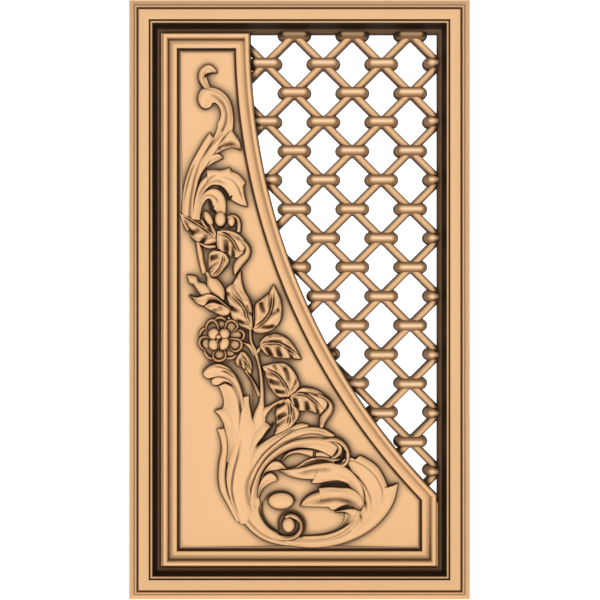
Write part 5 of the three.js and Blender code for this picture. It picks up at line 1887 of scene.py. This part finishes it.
# Knots lie on every other crossing of an upright grid, beside the bow and inside the opening, and bars slant
# through them both ways.
def latticeTree():
    tree = bpy.data.node_groups.new("fretwork", "GeometryNodeTree")
    graph = Graph(tree)
    tree.interface.new_socket(name="Geometry", in_out="OUTPUT", socket_type="NodeSocketGeometry")
    sockets = {}
    for name, kind in (
        ("Pitch", "Float"), ("Shift X", "Float"), ("Shift Z", "Float"), ("Columns", "Int"), ("Rows", "Int"),
        ("Bow Centre", "Vector"), ("Bow Radius", "Float"), ("Opening X", "Float"), ("Knot Reach", "Float"),
        ("Knot", "Object"), ("Bar", "Object"), ("Window", "Object"), ("Rim", "Object"), ("Wood", "Material"),
    ):
        sockets[name] = tree.interface.new_socket(name=name, in_out="INPUT", socket_type="NodeSocket" + kind)
    source = graph.node("NodeGroupInput")

    def given(name):
        return Wire(graph, source.outputs[name])

    def shapeOf(name):
        settings = {"transform_space": "ORIGINAL"}
        return graph.wire("GeometryNodeObjectInfo", settings, {"Object": given(name)}, "Geometry")

    def combined(operation, *shapes):
        settings = {"operation": operation, "solver": "MANIFOLD"}
        return graph.wire("GeometryNodeMeshBoolean", settings, {1: list(shapes)})

    pitch, shiftX, shiftZ = given("Pitch"), given("Shift X"), given("Shift Z")
    columns, rows = given("Columns"), given("Rows")
    number = graph.wire("GeometryNodeInputIndex")
    column = (number / (rows * 2 + 1)).math("FLOOR") - columns
    row = number % (rows * 2 + 1) - rows
    x = column * pitch + shiftX
    z = row * pitch + shiftZ
    spot = graph.wire("ShaderNodeCombineXYZ", {}, {"X": x, "Z": z})
    points = graph.wire("GeometryNodeMeshLine", {}, {"Count": (columns * 2 + 1) * (rows * 2 + 1)})
    points = graph.wire("GeometryNodeMeshToPoints", {}, {"Mesh": points, "Position": spot})
    parity = (column + row) % 2.0
    betweenSpots = {0: spot, 1: given("Bow Centre")}
    fromBow = graph.wire("ShaderNodeVectorMath", {"operation": "DISTANCE"}, betweenSpots, "Value")
    kept = (0.5 - parity) + (given("Bow Radius") + given("Knot Reach") < fromBow) * 2
    kept = kept + (given("Opening X") + given("Knot Reach") < x) * 2
    points = graph.wire("GeometryNodeDeleteGeometry", {"domain": "POINT"}, {
        "Geometry": points, "Selection": kept > 0,
    })
    knots = graph.wire("GeometryNodeInstanceOnPoints", {}, {"Points": points, "Instance": shapeOf("Knot")})
    slants = columns + rows
    slant = (number - slants) * 2 + 1
    barSpot = graph.wire("ShaderNodeCombineXYZ", {}, {"X": shiftX, "Z": slant * pitch + shiftZ})
    line = graph.wire("GeometryNodeMeshLine", {}, {"Count": slants * 2})
    line = graph.wire("GeometryNodeMeshToPoints", {}, {"Mesh": line, "Position": barSpot})
    bars = []
    for lean in (-45, 45):
        bars.append(graph.wire("GeometryNodeInstanceOnPoints", {}, {
            "Points": line, "Instance": shapeOf("Bar"), "Rotation": (0, math.radians(lean), 0),
        }))
    crossed = combined("UNION", knots, *bars)
    opened = combined("INTERSECT", crossed, shapeOf("Window"))
    whole = combined("UNION", opened, shapeOf("Rim"))
    real = graph.wire("GeometryNodeRealizeInstances", {}, {"Geometry": whole})
    finished = graph.wire("GeometryNodeSetMaterial", {}, {"Geometry": real, "Material": given("Wood")})
    graph.node("NodeGroupOutput", {}, {"Geometry": finished})
    return tree, sockets


# Shade is painted on the low parts of the bars and more slope shade on the knots' upper sides, and a
# highlight is painted on the knots' crowns.
def latticeShades(h):
    size = latticeSizes
    front = h > size["plainBelow"]
    patina = effect(size["lowFrom"] - h, size["paintedLowShade"]) - effect(h - size["crownFrom"], size["paintedCrownHighlight"])
    glaze = 1 + effect(h - size["sideFrom"], size["paintedSideShade"])
    return {"patina": patina * front, "dusk": np.zeros(len(h)), "glaze": glaze * front}


def buildLattice():
    tree, sockets = latticeTree()
    holder = bpy.data.objects.new("fretworkHolder", bpy.data.meshes.new("fretworkHolder"))
    bpy.context.scene.collection.objects.link(holder)
    modifier = holder.modifiers.new("fretwork", "NODES")
    modifier.node_group = tree
    pitch = latticeSizes["pitch"]
    values = {
        "Pitch": pitch * mm,
        "Shift X": latticeSizes["shiftX"] * mm,
        "Shift Z": latticeSizes["shiftZ"] * mm,
        "Columns": math.ceil(openingX / pitch) + 1,
        "Rows": math.ceil(openingZ / pitch) + 1,
        "Bow Centre": (bowCentre[0] * mm, 0, bowCentre[1] * mm),
        "Bow Radius": panelSizes["bowRadius"] * mm,
        "Opening X": openingX * mm,
        "Knot Reach": latticeSizes["knot"][0][0] / 2 * mm,
        "Wood": latticeWood,
        **tools,
    }
    for name, value in values.items():
        modifier[sockets[name].identifier] = value
    bpy.context.view_layer.update()
    evaluated = holder.evaluated_get(bpy.context.evaluated_depsgraph_get())
    mesh = bpy.data.meshes.new_from_object(evaluated)
    holder.modifiers.remove(modifier)
    for tool in [holder, *tools.values()]:
        bpy.data.objects.remove(tool)
    mesh.name = "fretwork"
    mesh.transform(Matrix.Translation((0, 0, middleHeight)))
    mesh.polygons.foreach_set("use_smooth", [True] * len(mesh.polygons))
    mesh.set_sharp_from_angle(angle=math.radians(latticeSizes["sharpAngle"]))
    places = np.empty(len(mesh.vertices) * 3)
    mesh.vertices.foreach_get("co", places)
    addShades(mesh, latticeShades(-places[1::3] / mm))
    print("lattice faces:", len(mesh.polygons))
    piece = bpy.data.objects.new("fretwork", mesh)
    bpy.context.scene.collection.objects.link(piece)
    if not mesh.materials:
        mesh.materials.append(latticeWood)
    return piece


pieces.append((buildLattice(), "lattice", "lattice_wood"))
for piece, node, slotName in pieces:
    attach(piece, "root")
    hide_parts(node)
print("pieces ready:", len(pieces))

# A pale studio sweep, soft light from the front and a little above, and the photograph's view.
studio = {
    "camera": (0.0007, -1.428, 0.4032),
    "lens": 60,
    "floorDrop": 0.001,
    "front": 3.1,
    "back": 3.4,
    "bend": 0.6,
    "bendSteps": 16,
    "tall": 5,
    "half": 5,
    "keyPower": 29,
    "keySize": 1.2,
    "keyPlace": (0.0, -2.3, 1.25),
    "fillStrength": 0.2,
    "paper": (0.93, 0.93, 0.93, 1),
    "paperGlow": 0.72,
}


def plainMaterial(name, color, glow):
    material = bpy.data.materials.new(name)
    material.use_nodes = True
    graph = Graph(material.node_tree)
    shader = graph.wire("ShaderNodeBsdfPrincipled", {}, {
        "Base Color": color, "Roughness": 0.9, "Emission Color": (1, 1, 1, 1), "Emission Strength": glow,
    })
    graph.node("ShaderNodeOutputMaterial", {}, {"Surface": shader})
    return material


def buildStage():
    paper = plainMaterial("studioPaper", studio["paper"], studio["paperGlow"])
    floorHeight = frameLow.z - studio["floorDrop"]
    bend = studio["bend"]
    angle = np.linspace(0, math.pi / 2, studio["bendSteps"])
    line = [(-studio["front"], 0.0)]
    line += [(studio["back"] - bend + bend * math.sin(a), bend - bend * math.cos(a)) for a in angle]
    line.append((studio["back"], studio["tall"]))
    points = [(x, y, floorHeight + z) for y, z in line for x in (-studio["half"], studio["half"])]
    mesh = bpy.data.meshes.new("studioSweep")
    mesh.from_pydata(points, [], quads(len(line), 2, False).tolist())
    mesh.polygons.foreach_set("use_smooth", [True] * len(mesh.polygons))
    mesh.materials.append(paper)
    sweep = bpy.data.objects.new("studioSweep", mesh)
    bpy.context.scene.collection.objects.link(sweep)


def buildLights():
    world = bpy.data.worlds.new("softRoom")
    bpy.context.scene.world = world
    world.use_nodes = True
    graph = Graph(world.node_tree)
    shade = graph.wire("ShaderNodeBackground", {}, {
        "Color": (1, 1, 1, 1), "Strength": studio["fillStrength"],
    })
    graph.node("ShaderNodeOutputWorld", {}, {"Surface": shade})
    light = bpy.data.lights.new("softKey", "AREA")
    light.size = studio["keySize"]
    light.energy = studio["keyPower"]
    key = bpy.data.objects.new("softKey", light)
    key.location = studio["keyPlace"]
    aim = Vector((0, 0, middleHeight)) - key.location
    key.rotation_euler = aim.to_track_quat("-Z", "Y").to_euler()
    bpy.context.scene.collection.objects.link(key)


def buildCamera():
    lens = bpy.data.cameras.new("photoCamera")
    lens.lens = studio["lens"]
    camera = bpy.data.objects.new("photoCamera", lens)
    camera.location = studio["camera"]
    camera.rotation_euler = (math.pi / 2, 0, 0)
    bpy.context.scene.collection.objects.link(camera)
    bpy.context.scene.camera = camera


buildStage()
buildLights()
buildCamera()
bpy.context.scene.view_settings.view_transform = "Standard"
print("studio ready")
